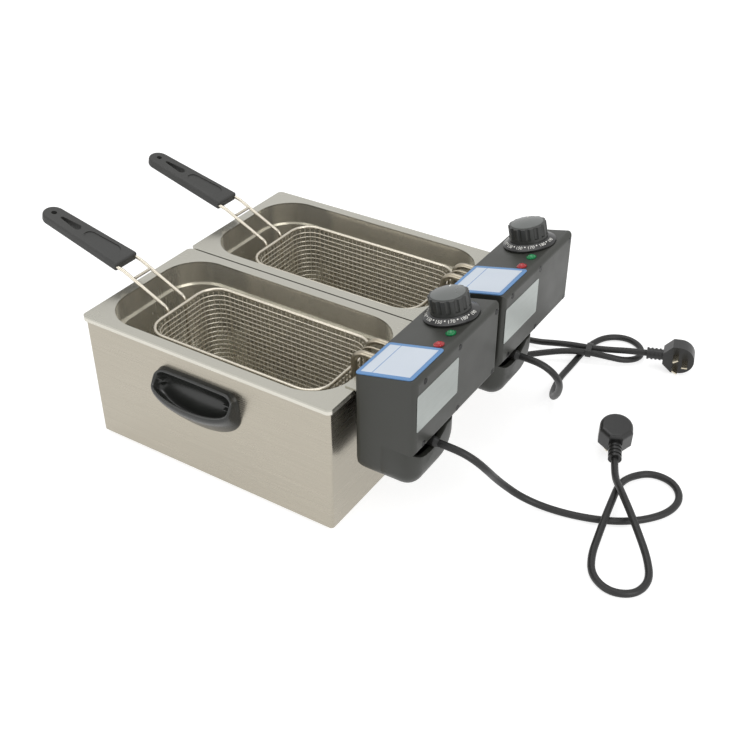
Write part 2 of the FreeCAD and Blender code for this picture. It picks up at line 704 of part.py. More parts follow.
def hanger_bracket(side, place):
    body = node(new_body(f"{side}_hanger_bracket", place))
    sketch = sketch_on(body, "YZ_Plane", -dim.bracket_width / 2)
    thick = dim.bracket_sheet
    outline(sketch, [
        (head_in, dim.pan_top - dim.bracket_drop), (head_in, dim.pan_top + dim.bracket_rise),
        (head_in - thick, dim.pan_top + dim.bracket_rise), (head_in - thick, dim.pan_top + thick),
        (head_in - dim.bracket_reach, dim.pan_top + thick), (head_in - dim.bracket_reach, dim.pan_top),
        (head_in - thick, dim.pan_top), (head_in - thick, dim.pan_top - dim.bracket_drop)])
    pad(body, sketch, dim.bracket_width)


# Control heads


def boss_places():
    # screw axes on the back cover, as (x, z) from the pan's middle, with the wall that each boss grows from
    half = dim.boss_side / 2
    high = panel_height(dim.head_depth - dim.cover_depth) - dim.head_wall - half
    low = dim.head_floor + dim.head_wall + half
    centre = -dim.head_shift
    return [
        (head_right - dim.boss_side * 2, high), (centre, high), (head_left + dim.boss_side, high),
        (head_left + dim.boss_side, low), (centre, low), (head_right - dim.boss_side * 2, low)]


def head_housing(side, place):
    body = node(new_body(f"{side}_head_housing", place))
    wall = dim.head_wall
    belly_left = head_right - dim.belly_width
    guard_seat = head_in + dim.belly_split
    seat_depth = dim.head_depth - dim.cover_depth
    top = panel_height(seat_depth)

    upper = sketch_on(body, "YZ_Plane", head_left)
    rectangle(upper, head_in, cover_seat, dim.head_floor, top)
    pad(body, upper, dim.head_width)
    deep = sketch_on(body, "YZ_Plane", belly_left)
    outline(deep, [
        (head_in, dim.head_floor), (head_in, dim.belly_floor + dim.belly_heel, dim.belly_heel),
        (head_in + dim.belly_heel, dim.belly_floor), (guard_seat, dim.belly_floor),
        (guard_seat, dim.head_floor)])
    pad(body, deep, dim.belly_width)
    through = (head_in, dim.belly_split)
    corner = (head_right, dim.belly_floor)
    cut_corner(body, "XZ_Plane", corner, dim.belly_near_round, (-1, 1), through)
    cut_corner(body, "XZ_Plane", (belly_left, dim.belly_floor), dim.belly_far_round, (1, 1), through)
    height = (dim.belly_floor, top - dim.belly_floor)
    cut_corner(body, "XY_Plane", (head_right, head_in), dim.head_round, (-1, 1), height)
    cut_corner(body, "XY_Plane", (head_left, head_in), dim.head_round, (1, 1), height)

    room = sketch_on(body, "YZ_Plane", head_left + wall)
    ceiling = dim.head_inner_top - wall
    outline(room, [
        (head_in + wall, dim.head_floor + wall), (cover_seat, dim.head_floor + wall),
        (cover_seat, top - wall), (head_in + wall, ceiling + slope * wall)])
    pocket(body, room, dim.head_width - wall * 2)
    cellar = sketch_on(body, "YZ_Plane", belly_left + dim.belly_far_round)
    heel = dim.belly_heel - wall
    outline(cellar, [
        (head_in + wall, dim.head_floor + wall), (head_in + wall, dim.belly_floor + dim.belly_heel, heel),
        (head_in + dim.belly_heel, dim.belly_floor + wall), (guard_seat, dim.belly_floor + wall),
        (guard_seat, dim.head_floor + wall)])
    pocket(body, cellar, dim.belly_width - dim.belly_far_round - dim.belly_near_round)

    half = dim.boss_side / 2
    for x, z in boss_places():
        boss = sketch_on(body, "XZ_Plane", cover_seat - dim.boss_length)
        grow = dim.head_wall / 2
        rectangle(boss, x - half, x + half, z - half - grow, z + half + grow)
        pad(body, boss, dim.boss_length)
    for x, z in boss_places():
        hole = sketch_on(body, "XZ_Plane", cover_seat - dim.boss_length)
        circle(hole, dim.screw_across + dim.fit_gap, (x, z))
        pocket(body, hole, dim.boss_length)

    legs = sketch_on(body, "XZ_Plane", head_in)
    for leg_x in leg_places():
        circle(legs, dim.tube_across + dim.fit_gap * 2, (leg_x, dim.arch_height))
    circle(legs, dim.capillary_across + dim.fit_gap * 2, (0, dim.arch_height))
    pocket(body, legs, wall)

    panel = sketch_on(body, "YZ_Plane", head_left)
    outline(panel, [
        (head_in, dim.head_inner_top), (cover_seat, top), (cover_seat, top + wall), (head_in, top + wall)])
    pocket(body, panel, dim.head_width)
    openings = sketch_on(body, "XY_Plane", dim.head_inner_top - wall * 2)
    lamp_hole = dim.lamp_across + dim.fit_gap
    circle(openings, dim.spindle_across + wall, (knob_x(), head_in + dim.knob_setback))
    for offset in (dim.green_offset, dim.red_offset):
        circle(openings, lamp_hole, (offset - dim.head_shift, head_out - dim.lamp_setback))
    pocket(body, openings, dim.head_rise + wall * 2)


def knob_x():
    return -dim.head_shift - dim.knob_offset


def head_cover(side, place):
    body = node(new_body(f"{side}_head_cover", place))
    top = panel_height(dim.head_depth)
    face = sketch_on(body, "XZ_Plane", cover_seat)
    rectangle(face, head_left, head_right, dim.head_floor, top)
    pad(body, face, dim.cover_depth)
    panel = sketch_on(body, "YZ_Plane", head_left)
    low_top = panel_height(dim.head_depth - dim.cover_depth)
    outline(panel, [(cover_seat, low_top), (head_out, top), (cover_seat, top)])
    pocket(body, panel, dim.head_width)
    edge = amount(head_out)
    round_off(body, dim.cover_round, lambda e: all(abs(v.Point.y - edge) < 0.01 for v in e.Vertexes))
    hollow = sketch_on(body, "XZ_Plane", cover_seat)
    wall = dim.head_wall
    rectangle(hollow, head_left + wall, head_right - wall, dim.head_floor + wall, low_top - wall)
    pocket(body, hollow, dim.cover_depth - wall * 1.6)
    holes = sketch_on(body, "XZ_Plane", cover_seat)
    sinks = sketch_on(body, "XZ_Plane", head_out - dim.screw_head_height)
    for x, z in boss_places():
        circle(holes, dim.screw_across + dim.fit_gap, (x, z))
        circle(sinks, dim.screw_head_across + dim.fit_gap * 2, (x, z))
    pocket(body, holes, dim.cover_depth)
    pocket(body, sinks, dim.screw_head_height)


def cord_guard(side, place):
    body = node(new_body(f"{side}_cord_guard", place))
    wall, near, far = dim.head_wall, dim.belly_near_round, dim.belly_far_round
    left, right, low, top = head_right - dim.belly_width, head_right, dim.belly_floor, dim.head_floor
    seat = head_in + dim.belly_split
    depth = dim.head_depth - dim.belly_split
    shell = sketch_on(body, "XZ_Plane", seat)
    outline(shell, [
        (left, top), (left, low + far, far), (left + far, low),
        (right - near, low, near), (right, low + near),
        (right, top)])
    pad(body, shell, depth)
    cut_corner(body, "YZ_Plane", (head_out, low), dim.belly_nose, (-1, 1), (left, dim.belly_width))
    cut_corner(body, "XY_Plane", (right, head_out), dim.cover_round, (-1, -1), (low, top - low))
    hollow = sketch_on(body, "XZ_Plane", seat)
    outline(hollow, [
        (left + wall, top - wall), (left + wall, low + far, far - wall), (left + far, low + wall),
        (right - near, low + wall, near - wall), (right - wall, low + near), (right - wall, top - wall)])
    pocket(body, hollow, depth - dim.belly_nose)
    slot_x = -dim.head_shift + dim.slot_middle
    half = slot_half()
    slot = sketch_on(body, "XZ_Plane", seat)
    outline(slot, [(slot_x - half, top, dim.slot_radius), (slot_x + half, top)])
    pocket(body, slot, depth)


def slot_half():
    rise = dim.slot_radius - dim.slot_sag
    number = math.sqrt(amount(dim.slot_radius) ** 2 - amount(rise) ** 2)
    return Size(f"sqrt({words(dim.slot_radius)} ^ 2 - {words(rise)} ^ 2)", number)


def cover_screws(side, place):
    body = node(new_body(f"{side}_cover_screws", place))
    shank_start = cover_seat - dim.boss_length + dim.fit_gap
    for x, z in boss_places():
        shank = sketch_on(body, "XZ_Plane", shank_start)
        circle(shank, dim.screw_across, (x, z))
        pad(body, shank, head_out - dim.screw_head_height - shank_start)
        head = sketch_on(body, "XZ_Plane", head_out - dim.screw_head_height)
        circle(head, dim.screw_head_across, (x, z))
        pad(body, head, dim.screw_head_height)


# Pieces inside the head, on its inner wall


def block(label, place, box, fillet=None):
    # box is (x, y, z) of the low corner and (x, y, z) sizes
    body = node(new_body(label, place))
    corner, span = box
    sketch = sketch_on(body, "XY_Plane", corner[2])
    rectangle(sketch, corner[0], corner[0] + span[0], corner[1], corner[1] + span[1])
    pad(body, sketch, span[2])
    if fillet:
        round_off(body, fillet, at_height(corner[2] + span[2]))
    return body


BLOCK_WAYS = 3
BLOCK_WAY = 12
BLOCK_DEPTH = 18
BLOCK_HEIGHT = 20
CUTOUT_ACROSS = 16
CUTOUT_LENGTH = 24
SWITCH_SIZE = (28, 10, 16)


def terminal_block(side, place):
    seat = head_in + dim.head_wall
    low = dim.head_floor + dim.head_wall
    left = head_right - dim.head_wall * 4 - BLOCK_WAYS * BLOCK_WAY
    corner = (left, seat, low + BLOCK_HEIGHT)
    block_size = (BLOCK_WAYS * BLOCK_WAY, BLOCK_DEPTH, BLOCK_HEIGHT)
    body = block(f"{side}_terminal_block", place, (corner, block_size))
    bores = sketch_on(body, "XZ_Plane", seat + BLOCK_DEPTH)
    for way in range(BLOCK_WAYS):
        circle(bores, BLOCK_WAY / 2, (left + BLOCK_WAY * (way + 0.5), low + BLOCK_HEIGHT * 1.5))
    pocket(body, bores, BLOCK_DEPTH / 2, -1)


def thermal_cutout(side, place):
    seat = head_in + dim.head_wall
    body = node(new_body(f"{side}_thermal_cutout", place))
    centre = (-dim.head_shift + dim.green_offset, dim.head_floor + dim.head_wall + CUTOUT_ACROSS)
    can = sketch_on(body, "XZ_Plane", seat)
    circle(can, CUTOUT_ACROSS, centre)
    pad(body, can, CUTOUT_LENGTH)
    button = sketch_on(body, "XZ_Plane", seat + CUTOUT_LENGTH)
    circle(button, CUTOUT_ACROSS / 4, centre)
    pad(body, button, CUTOUT_ACROSS / 4)


def microswitch(side, place):
    long, deep, tall = SWITCH_SIZE
    seat = head_in + dim.head_wall
    low = dim.head_floor + dim.head_wall
    left = head_left + dim.head_wall + long / 2
    body = block(f"{side}_microswitch", place, ((left, seat, low), (long, deep, tall)))
    plunger = sketch_on(body, "XY_Plane", low + tall)
    circle(plunger, deep / 3, (left + long / 3, seat + deep / 2))
    pad(body, plunger, deep / 5)


# Pieces on the sloped top panel, made upright and tilted with it


def panel_place(place, x, depth):
    return (place[0] + x, place[1] + head_in + depth, panel_height(depth))


def panel_body(label, place, x, depth):
    return node(new_body(label, panel_place(place, x, depth), FreeCAD.Rotation(Vector(1, 0, 0), tilt)))


def thermostat(side, place):
    body = panel_body(f"{side}_thermostat", place, knob_x(), dim.knob_setback)
    half = dim.thermostat_side / 2
    case = sketch_on(body, "XY_Plane", -dim.head_wall - dim.fit_gap)
    rounded_rectangle(case, half, half, dim.thermostat_side / 8)
    pad(body, case, dim.thermostat_height, -1)
    bore = sketch_on(body, "XY_Plane", -dim.head_wall - dim.fit_gap)
    circle(bore, dim.spindle_across + dim.fit_gap * 2)
    pocket(body, bore, dim.spindle_below, -1)


def spindle(side, place):
    body = panel_body(f"{side}_spindle", place, knob_x(), dim.knob_setback)
    sketch = sketch_on(body, "XY_Plane", -dim.spindle_below)
    circle(sketch, dim.spindle_across)
    pad(body, sketch, dim.spindle_below + dim.spindle_above)


def dial_skirt(side, place):
    body = panel_body(f"{side}_dial_skirt", place, knob_x(), dim.knob_setback)
    sketch = sketch_on(body, "XZ_Plane")
    bore = dim.spindle_across / 2 + dim.fit_gap
    low, top = dim.knob_lift, dim.knob_lift + dim.skirt_height
    edge = dim.skirt_height / 4
    outline(sketch, [
        (bore, low), (dim.skirt_across / 2, low), (dim.skirt_across / 2, low + edge),
        (dim.skirt_top / 2, top), (bore, top)])
    revolve(body, sketch)


def knob(side, place):
    body = panel_body(f"{side}_knob", place, knob_x(), dim.knob_setback)
    low = dim.knob_lift + dim.skirt_height
    top = low + dim.knob_height
    half, bore = dim.knob_across / 2, dim.spindle_across / 2 + dim.fit_gap
    sketch = sketch_on(body, "XZ_Plane")
    dome = (half * half + dim.knob_crown * dim.knob_crown) / (dim.knob_crown * 2)
    blind = dim.spindle_above + dim.fit_gap
    outline(sketch, [
        (bore, low), (half, low), (half, top - dim.knob_crown, dome), (0, top), (0, blind), (bore, blind)])
    revolve(body, sketch)
    flute = sketch_on(body, "XY_Plane", low + dim.knob_height / 6)
    circle(flute, dim.flute_radius * 2, (half + dim.flute_radius / 2, 0))
    cut = pocket(body, flute, dim.knob_height)
    ring = body.newObject("PartDesign::PolarPattern", "PolarPattern")
    ring.Originals = [cut]
    ring.Axis = (flute, ["N_Axis"])
    ring.Angle = 360
    bind(ring, "Occurrences", dim.flute_count)
    body.Tip = ring
    doc.recompute()


def lamp(side, place, colour, offset):
    depth = dim.head_depth - dim.lamp_setback
    body = panel_body(f"{side}_{colour}_lamp", place, offset - dim.head_shift, depth)
    sketch = sketch_on(body, "XZ_Plane")
    lens, bezel, stem = dim.lamp_across / 2, dim.lamp_bezel / 2, dim.lamp_across / 2 - dim.fit_gap * 3
    flat, gap = dim.lamp_height / 3, dim.fit_gap
    crown = dim.lamp_height - flat
    dome = (lens * lens + crown * crown) / (crown * 2)
    outline(sketch, [
        (0, -dim.lamp_below), (stem, -dim.lamp_below), (stem, gap), (bezel, gap), (bezel, flat),
        (lens, flat, dome), (0, dim.lamp_height)])
    revolve(body, sketch)


# Baskets


def window_count(length):
    return max(int((amount(length) - amount(dim.mesh_bar)) // amount(dim.mesh_pitch)), 1)


def mesh_panel(body, window, width, height, low):
    # cuts a centred grid of square windows through a panel that is width by height
    across, up = window_count(width), window_count(height)
    hole = dim.mesh_pitch - dim.mesh_bar
    left = -dim.mesh_pitch * ((across - 1) / 2) - hole / 2
    bottom = low + (height - dim.mesh_pitch * (up - 1) - hole) / 2
    rectangle(window, left, left + hole, bottom, bottom + hole)
    cut = pocket(body, window, dim.mesh_sheet)
    grid_pattern(body, cut, window, (across, dim.mesh_pitch), (up, dim.mesh_pitch))


basket_floor = pan_floor + dim.stay_height + dim.fit_gap
mesh_x = dim.basket_width / 2 - dim.rim_wire / 2 - dim.fit_gap
mesh_y = dim.basket_length / 2 - dim.rim_wire / 2 - dim.fit_gap
mesh_corner = dim.basket_corner - dim.rim_wire / 2 - dim.fit_gap


def basket_mesh(side, place):
    at = (place[0], place[1] + dim.basket_back, basket_floor)
    thick = dim.mesh_sheet
    height = dim.basket_rim_top - basket_floor - thick
    members = []

    floor = new_body(f"{side}_mesh_floor", at)
    plate = sketch_on(floor, "XY_Plane")
    rounded_rectangle(plate, mesh_x, mesh_y, mesh_corner)
    pad(floor, plate, thick)
    window = sketch_on(floor, "XY_Plane")
    mesh_panel(floor, window, (mesh_x - thick) * 2, (mesh_y - thick) * 2, -mesh_y + thick)
    members.append(floor)

    run_x, run_y = mesh_x - mesh_corner, mesh_y - mesh_corner
    for name, role, run, start in (
            ("front", "XZ_Plane", run_x, -mesh_y), ("rear", "XZ_Plane", run_x, mesh_y - thick),
            ("left", "YZ_Plane", run_y, -mesh_x), ("right", "YZ_Plane", run_y, mesh_x - thick)):
        panel = new_body(f"{side}_mesh_{name}", at)
        wall = sketch_on(panel, role, start)
        rectangle(wall, -run, run, thick, thick + height)
        pad(panel, wall, thick)
        window = sketch_on(panel, role, start)
        mesh_panel(panel, window, run * 2, height, thick)
        members.append(panel)

    rows = window_count(height)
    bottom = thick + (height - dim.mesh_pitch * rows - dim.mesh_bar) / 2
    for sign_x in (-1, 1):
        for sign_y in (-1, 1):
            members.append(mesh_corner_piece(side, at, sign_x, sign_y, bottom, rows))
    group(f"{side}_basket_mesh", members)


def mesh_corner_piece(side, at, sign_x, sign_y, bottom, rows):
    # a quarter bend of the mesh: stacked bars on one upright
    body = new_body(f"{side}_mesh_corner", at)
    outer, inner = mesh_corner, mesh_corner - dim.mesh_sheet
    x0, y0 = (mesh_x - mesh_corner) * sign_x, (mesh_y - mesh_corner) * sign_y
    bend = 1 if sign_x * sign_y > 0 else -1
    bar = sketch_on(body, "XY_Plane", bottom)
    outline(bar, [
        (x0 + outer * sign_x, y0, outer * bend), (x0, y0 + outer * sign_y),
        (x0, y0 + inner * sign_y, inner * -bend), (x0 + inner * sign_x, y0)])
    ring = pad(body, bar, dim.mesh_bar)
    post = sketch_on(body, "XY_Plane", bottom)
    half_angle = amount(dim.mesh_bar) / amount(outer) / 2
    first, last = math.pi / 4 - half_angle, math.pi / 4 + half_angle
    outline(post, [
        (x0 + outer * (math.cos(first) * sign_x), y0 + outer * (math.sin(first) * sign_y), outer * bend),
        (x0 + outer * (math.cos(last) * sign_x), y0 + outer * (math.sin(last) * sign_y)),
        (x0 + inner * (math.cos(last) * sign_x), y0 + inner * (math.sin(last) * sign_y), inner * -bend),
        (x0 + inner * (math.cos(first) * sign_x), y0 + inner * (math.sin(first) * sign_y))])
    pad(body, post, dim.mesh_pitch * rows)
    stack = body.newObject("PartDesign::LinearPattern", "LinearPattern")
    stack.Originals = [ring]
    stack.Direction = (bar, ["N_Axis"])
    stack.Occurrences = rows + 1
    bind(stack, "Length", dim.mesh_pitch * rows)
    body.Tip = stack
    doc.recompute()
    return body


def basket_frame(side, place):
    at = (place[0], place[1] + dim.basket_back, 0)
    body = node(new_body(f"{side}_basket_frame", at))
    half_x, half_y = dim.basket_width / 2, dim.basket_length / 2
    inset = dim.rim_wire / 2 - dim.base_wire / 2
    low = basket_floor + dim.base_wire / 2
    for height, wire, back in ((dim.basket_rim_top, dim.rim_wire, 0), (low, dim.base_wire, inset)):
        loop = sketch_on(body, "XY_Plane", height)
        rounded_rectangle(loop, half_x - back, half_y - back, dim.basket_corner - back)
        ring = sketch_on(body, "XZ_Plane")
        circle(ring, wire, (half_x - back, height))
        pipe(body, loop, ring)


def grip_axis(distance):
    # a point on the grip's axis, measured from its wire end towards the tip
    angle = math.radians(amount(dim.grip_tilt))
    y = -amount(half_length + dim.grip_start) - distance * math.cos(angle)
    return y, amount(dim.grip_height) + distance * math.sin(angle)


def basket_handle_wires(side, place):
    wire_gap = dim.rim_wire / 2 + dim.handle_wire / 2 + dim.fit_gap
    outside = amount(-dim.basket_length / 2 + dim.basket_back - wire_gap)
    knee_y, knee_z = grip_axis(-amount(dim.wire_bend))
    above_rim = amount(dim.basket_rim_top + dim.rim_wire)
    bend = amount(dim.wire_bend)
    spread = amount(dim.wire_spread) / 2
    shapes = []
    for sign in (-1, 1):
        tail_y, tail_z = grip_axis(amount(dim.wire_tail))
        path = bent_path([
            Vector(sign * spread, tail_y, tail_z), Vector(sign * spread, knee_y, knee_z),
            Vector(sign * spread, outside, above_rim),
            Vector(sign * spread, outside, amount(dim.wire_foot))],
            [bend, bend])
        shapes.append(tube_along(path, amount(dim.handle_wire)))
    share = (amount(dim.crossbar_ahead) - bend) / (outside - knee_y)
    bar_y, bar_z = knee_y + (outside - knee_y) * share, knee_z + (above_rim - knee_z) * share
    reach = spread - amount(dim.handle_wire) / 2 - amount(dim.fit_gap) / 3
    start = Vector(-reach, bar_y, bar_z)
    shapes.append(Part.makeCylinder(amount(dim.handle_wire) * 0.45, reach * 2, start, Vector(1, 0, 0)))
    tube_feature(f"{side}_basket_handle_wires", shapes, place)


def basket_grip(side, place):
    at = (place[0], place[1] - half_length - dim.grip_start, dim.grip_height)
    upward = FreeCAD.Rotation(Vector(1, 0, 0), -amount(dim.grip_tilt))
    body = node(new_body(f"{side}_basket_grip", at, upward))
    wide, narrow, long = dim.grip_wide / 2, dim.grip_narrow / 2, dim.grip_length
    sketch = sketch_on(body, "XY_Plane", -dim.grip_thick / 2)
    outline(sketch, [
        (wide, 0), (-wide, 0), (-narrow, -long + narrow, narrow),
        (0, -long, narrow), (narrow, -long + narrow)])
    pad(body, sketch, dim.grip_thick)
    half = amount(dim.grip_thick) / 2
    round_off(body, dim.grip_round, lambda e: all(abs(abs(v.Point.z) - half) < 0.01 for v in e.Vertexes))
    cuts = sketch_on(body, "XY_Plane", -dim.grip_thick / 2)
    circle(cuts, dim.grip_hole, (0, -long + dim.grip_hole_back))
    near, far = -long + dim.grip_slot_start, -long + dim.grip_slot_start + dim.grip_slot_length
    point, broad = dim.grip_slot_point / 2, dim.grip_slot_width / 2
    outline(cuts, [
        (-point, near + point, point), (0, near, point), (point, near + point),
        (broad, far - broad, broad), (0, far, broad), (-broad, far - broad)])
    pocket(body, cuts, dim.grip_thick)
    dish = sketch_on(body, "XY_Plane", dim.grip_thick / 2 - dim.grip_dish_depth)
    head, tail = -dim.grip_dish_start, -dim.grip_dish_start - dim.grip_dish_length
    slim, full = dim.grip_dish_slim / 2, dim.grip_dish_broad / 2
    outline(dish, [
        (-slim, tail + slim, slim), (0, tail, slim), (slim, tail + slim),
        (full, head - full, full), (0, head, full), (-full, head - full)])
    pocket(body, dish, dim.grip_dish_depth)
    bores = sketch_on(body, "XZ_Plane", -dim.wire_tail - dim.fit_gap)
    for sign in (-1, 1):
        circle(bores, dim.handle_wire + dim.fit_gap * 2, (dim.wire_spread / 2 * sign, 0))
    pocket(body, bores, dim.wire_tail + dim.fit_gap)


# Mains cords


def cord_bush(side, place):
    body = node(new_body(f"{side}_cord_bush", (place[0] + bush_x(), place[1], dim.bush_height)))
    sketch = sketch_on(body, "XY_Plane")
    end = head_out + dim.bush_nose
    half, tip = dim.bush_across / 2, dim.cord_across / 2 + dim.fit_gap
    start = end - dim.bush_length
    outline(sketch, [(0, start), (half, start), (half, head_out), (tip, end), (0, end)])
    revolve(body, sketch)


def bush_x():
    return -dim.head_shift + dim.slot_middle - dim.slot_sag / 2


def cord_path(label, route):
    points = [Vector(*point) for point in route]
    bends = []
    for before, corner, after in zip(points, points[1:], points[2:]):
        turn = (corner - before).getAngle(after - corner)
        shorter = min((corner - before).Length, (after - corner).Length)
        bends.append(0.45 * shorter / math.tan(turn / 2))
    print(label, "tightest bends", [round(bend, 1) for bend in sorted(bends)[:6]])
    return bent_path(points, bends)


def mains_cord(side, route):
    label = f"{side}_mains_cord"
    path = cord_path(label, route)
    across = amount(dim.cord_across)
    shape = tube_along(path, across)
    expected = math.pi / 4 * across * across * path.Length
    print(label, "length", round(path.Length, 1), "volume over section times length",
          round(shape.Volume / expected, 4))
    tube_feature(label, [shape])


def plug_frame(side, route):
    # the plug goes on along the cord's last run, and lies rolled about it
    entry, before = Vector(*route[-1]), Vector(*route[-2])
    along = (entry - before).normalize()
    heading = FreeCAD.Rotation(Vector(0, 0, 1), math.degrees(math.atan2(along.y, along.x)) - 90)
    pitch_up = FreeCAD.Rotation(Vector(1, 0, 0), math.degrees(math.asin(along.z)))
    roll = FreeCAD.Rotation(Vector(0, 1, 0), PLUG_ROLL[side])
    return tuple(entry), heading.multiply(pitch_up).multiply(roll)


def mains_plug(side, route):
    body = node(new_body(f"{side}_mains_plug", *plug_frame(side, route)))
    ribs = int(dim.relief_ribs.number)
    step = dim.relief_length / (ribs * 2)
    points = [(0, 0)]
    for turn in range(ribs * 2):
        radius = dim.relief_across / 2 - (dim.relief_groove if turn % 2 else 0)
        points += [(radius, step * turn), (radius, step * (turn + 1))]
    points.append((0, dim.relief_length))
    relief = sketch_on(body, "XY_Plane")
    outline(relief, points)
    revolve(body, relief)
    half, neck = dim.plug_width / 2, dim.relief_across / 2
    start = dim.relief_length
    round_start = start + dim.plug_length - half
    case = sketch_on(body, "XY_Plane", -dim.plug_face)
    outline(case, [
        (-neck, start), (neck, start), (half, start + half - neck), (half, round_start, half),
        (0, start + dim.plug_length, half), (-half, round_start), (-half, start + half - neck)])
    pad(body, case, dim.plug_height)
    round_off(body, dim.plug_round, at_height(dim.plug_height - dim.plug_face))


def plug_pins(side, route):
    entry, turn = plug_frame(side, route)
    centre = dim.relief_length + dim.plug_length / 2
    members = []
    for name, x, y, slant in (("left", -1, -0.4, -30), ("right", 1, -0.4, 30), ("earth", 0, 1, 0)):
        body = new_body(f"{side}_pin_{name}", entry, turn)
        sketch = sketch_on(body, "XY_Plane", -dim.plug_face)
        along = Vector(math.sin(math.radians(slant)), math.cos(math.radians(slant)), 0)
        across = Vector(along.y, -along.x, 0)
        pin_x, pin_y = dim.pin_spread * x, centre + dim.pin_spread * y
        outline(sketch, [
            (pin_x + dim.pin_width / 2 * (along.x * a) + dim.pin_thick / 2 * (across.x * b),
             pin_y + dim.pin_width / 2 * (along.y * a) + dim.pin_thick / 2 * (across.y * b))
            for a, b in ((-1, -1), (-1, 1), (1, 1), (1, -1))])
        pad(body, sketch, dim.pin_length, -1)
        members.append(body)
    group(f"{side}_plug_pins", members)


def cord_tie():
    body = node(new_body("left_cord_tie", TIE_PLACE, FreeCAD.Rotation(Vector(0, 0, 1), TIE_HEADING - 90)))
    half_x, half_z = dim.cord_across + dim.fit_gap * 8, dim.cord_across / 2 + dim.fit_gap * 2
    sheet_size = dim.tie_sheet
    sketch = sketch_on(body, "XZ_Plane", -dim.tie_width / 2)
    rounded_rectangle(sketch, half_x + sheet_size, half_z + sheet_size, half_z)
    rounded_rectangle(sketch, half_x, half_z, half_z - sheet_size)
    pad(body, sketch, dim.tie_width)


def build():
    outer_casing()
    base_plate()
    rubber_feet()
    centre_rail()
    carry_handle("right", 1)
    carry_handle("left", -1)
    carry_handle_screws()
    for side, x in sides.items():
        place = (x, casing_y, 0)
        for piece in (
                tank, heating_element, element_stays, thermostat_bulb, hanger_bracket,
                head_housing, head_cover,
                cord_guard, cover_screws, thermostat, thermal_cutout, terminal_block,
                microswitch, knob, dial_skirt,
                spindle, basket_mesh, basket_frame, basket_handle_wires, basket_grip, cord_bush):
            piece(side, place)
        lamp(side, place, "green", dim.green_offset)
        lamp(side, place, "red", dim.red_offset)
    for side, route in (("right", RIGHT_CORD), ("left", LEFT_CORD)):
        mains_cord(side, route)
        mains_plug(side, route)
        plug_pins(side, route)
    cord_tie()


def check_and_write():
    doc.recompute()
    failed = [item.Label for item in doc.Objects if {"Invalid", "Error"} & set(item.State)]
    for part in nodes:
        if part.Shape.isNull() or not part.Shape.isValid() or not part.Shape.Solids:
            failed.append(part.Label)
    if failed:
        raise RuntimeError("these pieces failed: " + ", ".join(failed))
    os.makedirs("parts", exist_ok=True)
    for part in nodes:
        part.Shape.exportStep(f"parts/{part.Label}.step")
    print(len(nodes), "pieces written")


build()
check_and_write()
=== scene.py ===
import math

import bmesh
import bpy
from mathutils import Euler, Matrix, Vector


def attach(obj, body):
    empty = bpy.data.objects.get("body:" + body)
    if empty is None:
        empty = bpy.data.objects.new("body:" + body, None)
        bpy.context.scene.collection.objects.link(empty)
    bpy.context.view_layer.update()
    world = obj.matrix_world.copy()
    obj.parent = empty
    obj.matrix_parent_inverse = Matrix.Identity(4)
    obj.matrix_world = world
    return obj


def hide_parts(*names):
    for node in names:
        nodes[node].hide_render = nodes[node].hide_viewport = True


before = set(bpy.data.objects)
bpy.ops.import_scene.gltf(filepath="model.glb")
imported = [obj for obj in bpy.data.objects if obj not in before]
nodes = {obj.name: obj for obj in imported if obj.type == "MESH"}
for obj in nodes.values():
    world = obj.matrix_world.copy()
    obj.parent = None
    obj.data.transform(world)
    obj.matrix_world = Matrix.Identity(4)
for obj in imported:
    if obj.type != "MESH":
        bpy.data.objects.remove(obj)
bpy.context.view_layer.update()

sides = {"right": 0.091, "left": -0.091}  # middle of each frying pan across the machine
shiftLeft = (sides["left"] - sides["right"], 0, 0)  # from a right-hand piece to its left-hand twin
casingY = 0.02987  # middle of the casing, front to back
near = 0.0001  # closer than this counts as the same place
print("frame loaded:", len(nodes), "nodes")


# small helpers

def hexColour(code):
    values = [int(code[i:i + 2], 16) / 255 for i in (1, 3, 5)]
    linear = [v / 12.92 if v <= 0.04045 else ((v + 0.055) / 1.055) ** 2.4 for v in values]
    return (*linear, 1.0)


def addNode(tree, kind, inputs=None, **settings):
    node = tree.nodes.new(kind)
    for name, value in settings.items():
        setattr(node, name, value)
    for name, value in (inputs or {}).items():
        if isinstance(value, bpy.types.NodeSocket):
            tree.links.new(value, node.inputs[name])
        else:
            node.inputs[name].default_value = value
    return node


def startMaterial(name, **values):
    material = bpy.data.materials.new(name)
    material.use_nodes = True
    shader = material.node_tree.nodes["Principled BSDF"]
    for socket, value in values.items():
        shader.inputs[socket.replace("_", " ")].default_value = value
    return material, material.node_tree, shader


def deselect():
    if bpy.context.object and bpy.context.object.mode != "OBJECT":
        bpy.ops.object.mode_set(mode="OBJECT")
    bpy.ops.object.select_all(action="DESELECT")


def pickOnly(*objects):
    deselect()
    for item in objects:
        item.select_set(True)
    bpy.context.view_layer.objects.active = objects[0]


def selectWhere(kind, test):
    # edit mode: selects the verts, edges or faces whose middle passes the test
    bpy.ops.mesh.select_mode(type=kind)
    bpy.ops.mesh.select_all(action="DESELECT")
    mesh = bmesh.from_edit_mesh(bpy.context.object.data)
    groups = {"VERT": mesh.verts, "EDGE": mesh.edges, "FACE": mesh.faces}
    for item in groups[kind]:
        if kind == "VERT":
            middle = item.co
        elif kind == "EDGE":
            middle = (item.verts[0].co + item.verts[1].co) / 2
        else:
            middle = item.calc_center_median()
        if test(middle):
            item.select_set(True)
    mesh.select_flush_mode()
    bmesh.update_edit_mesh(bpy.context.object.data)


def applyAll(piece):
    pickOnly(piece)
    for modifier in list(piece.modifiers):
        bpy.ops.object.modifier_apply(modifier=modifier.name)


def placeInMesh(piece, matrix):
    pickOnly(piece)
    piece.matrix_world = matrix
    bpy.ops.object.transform_apply(location=True, rotation=True, scale=True)


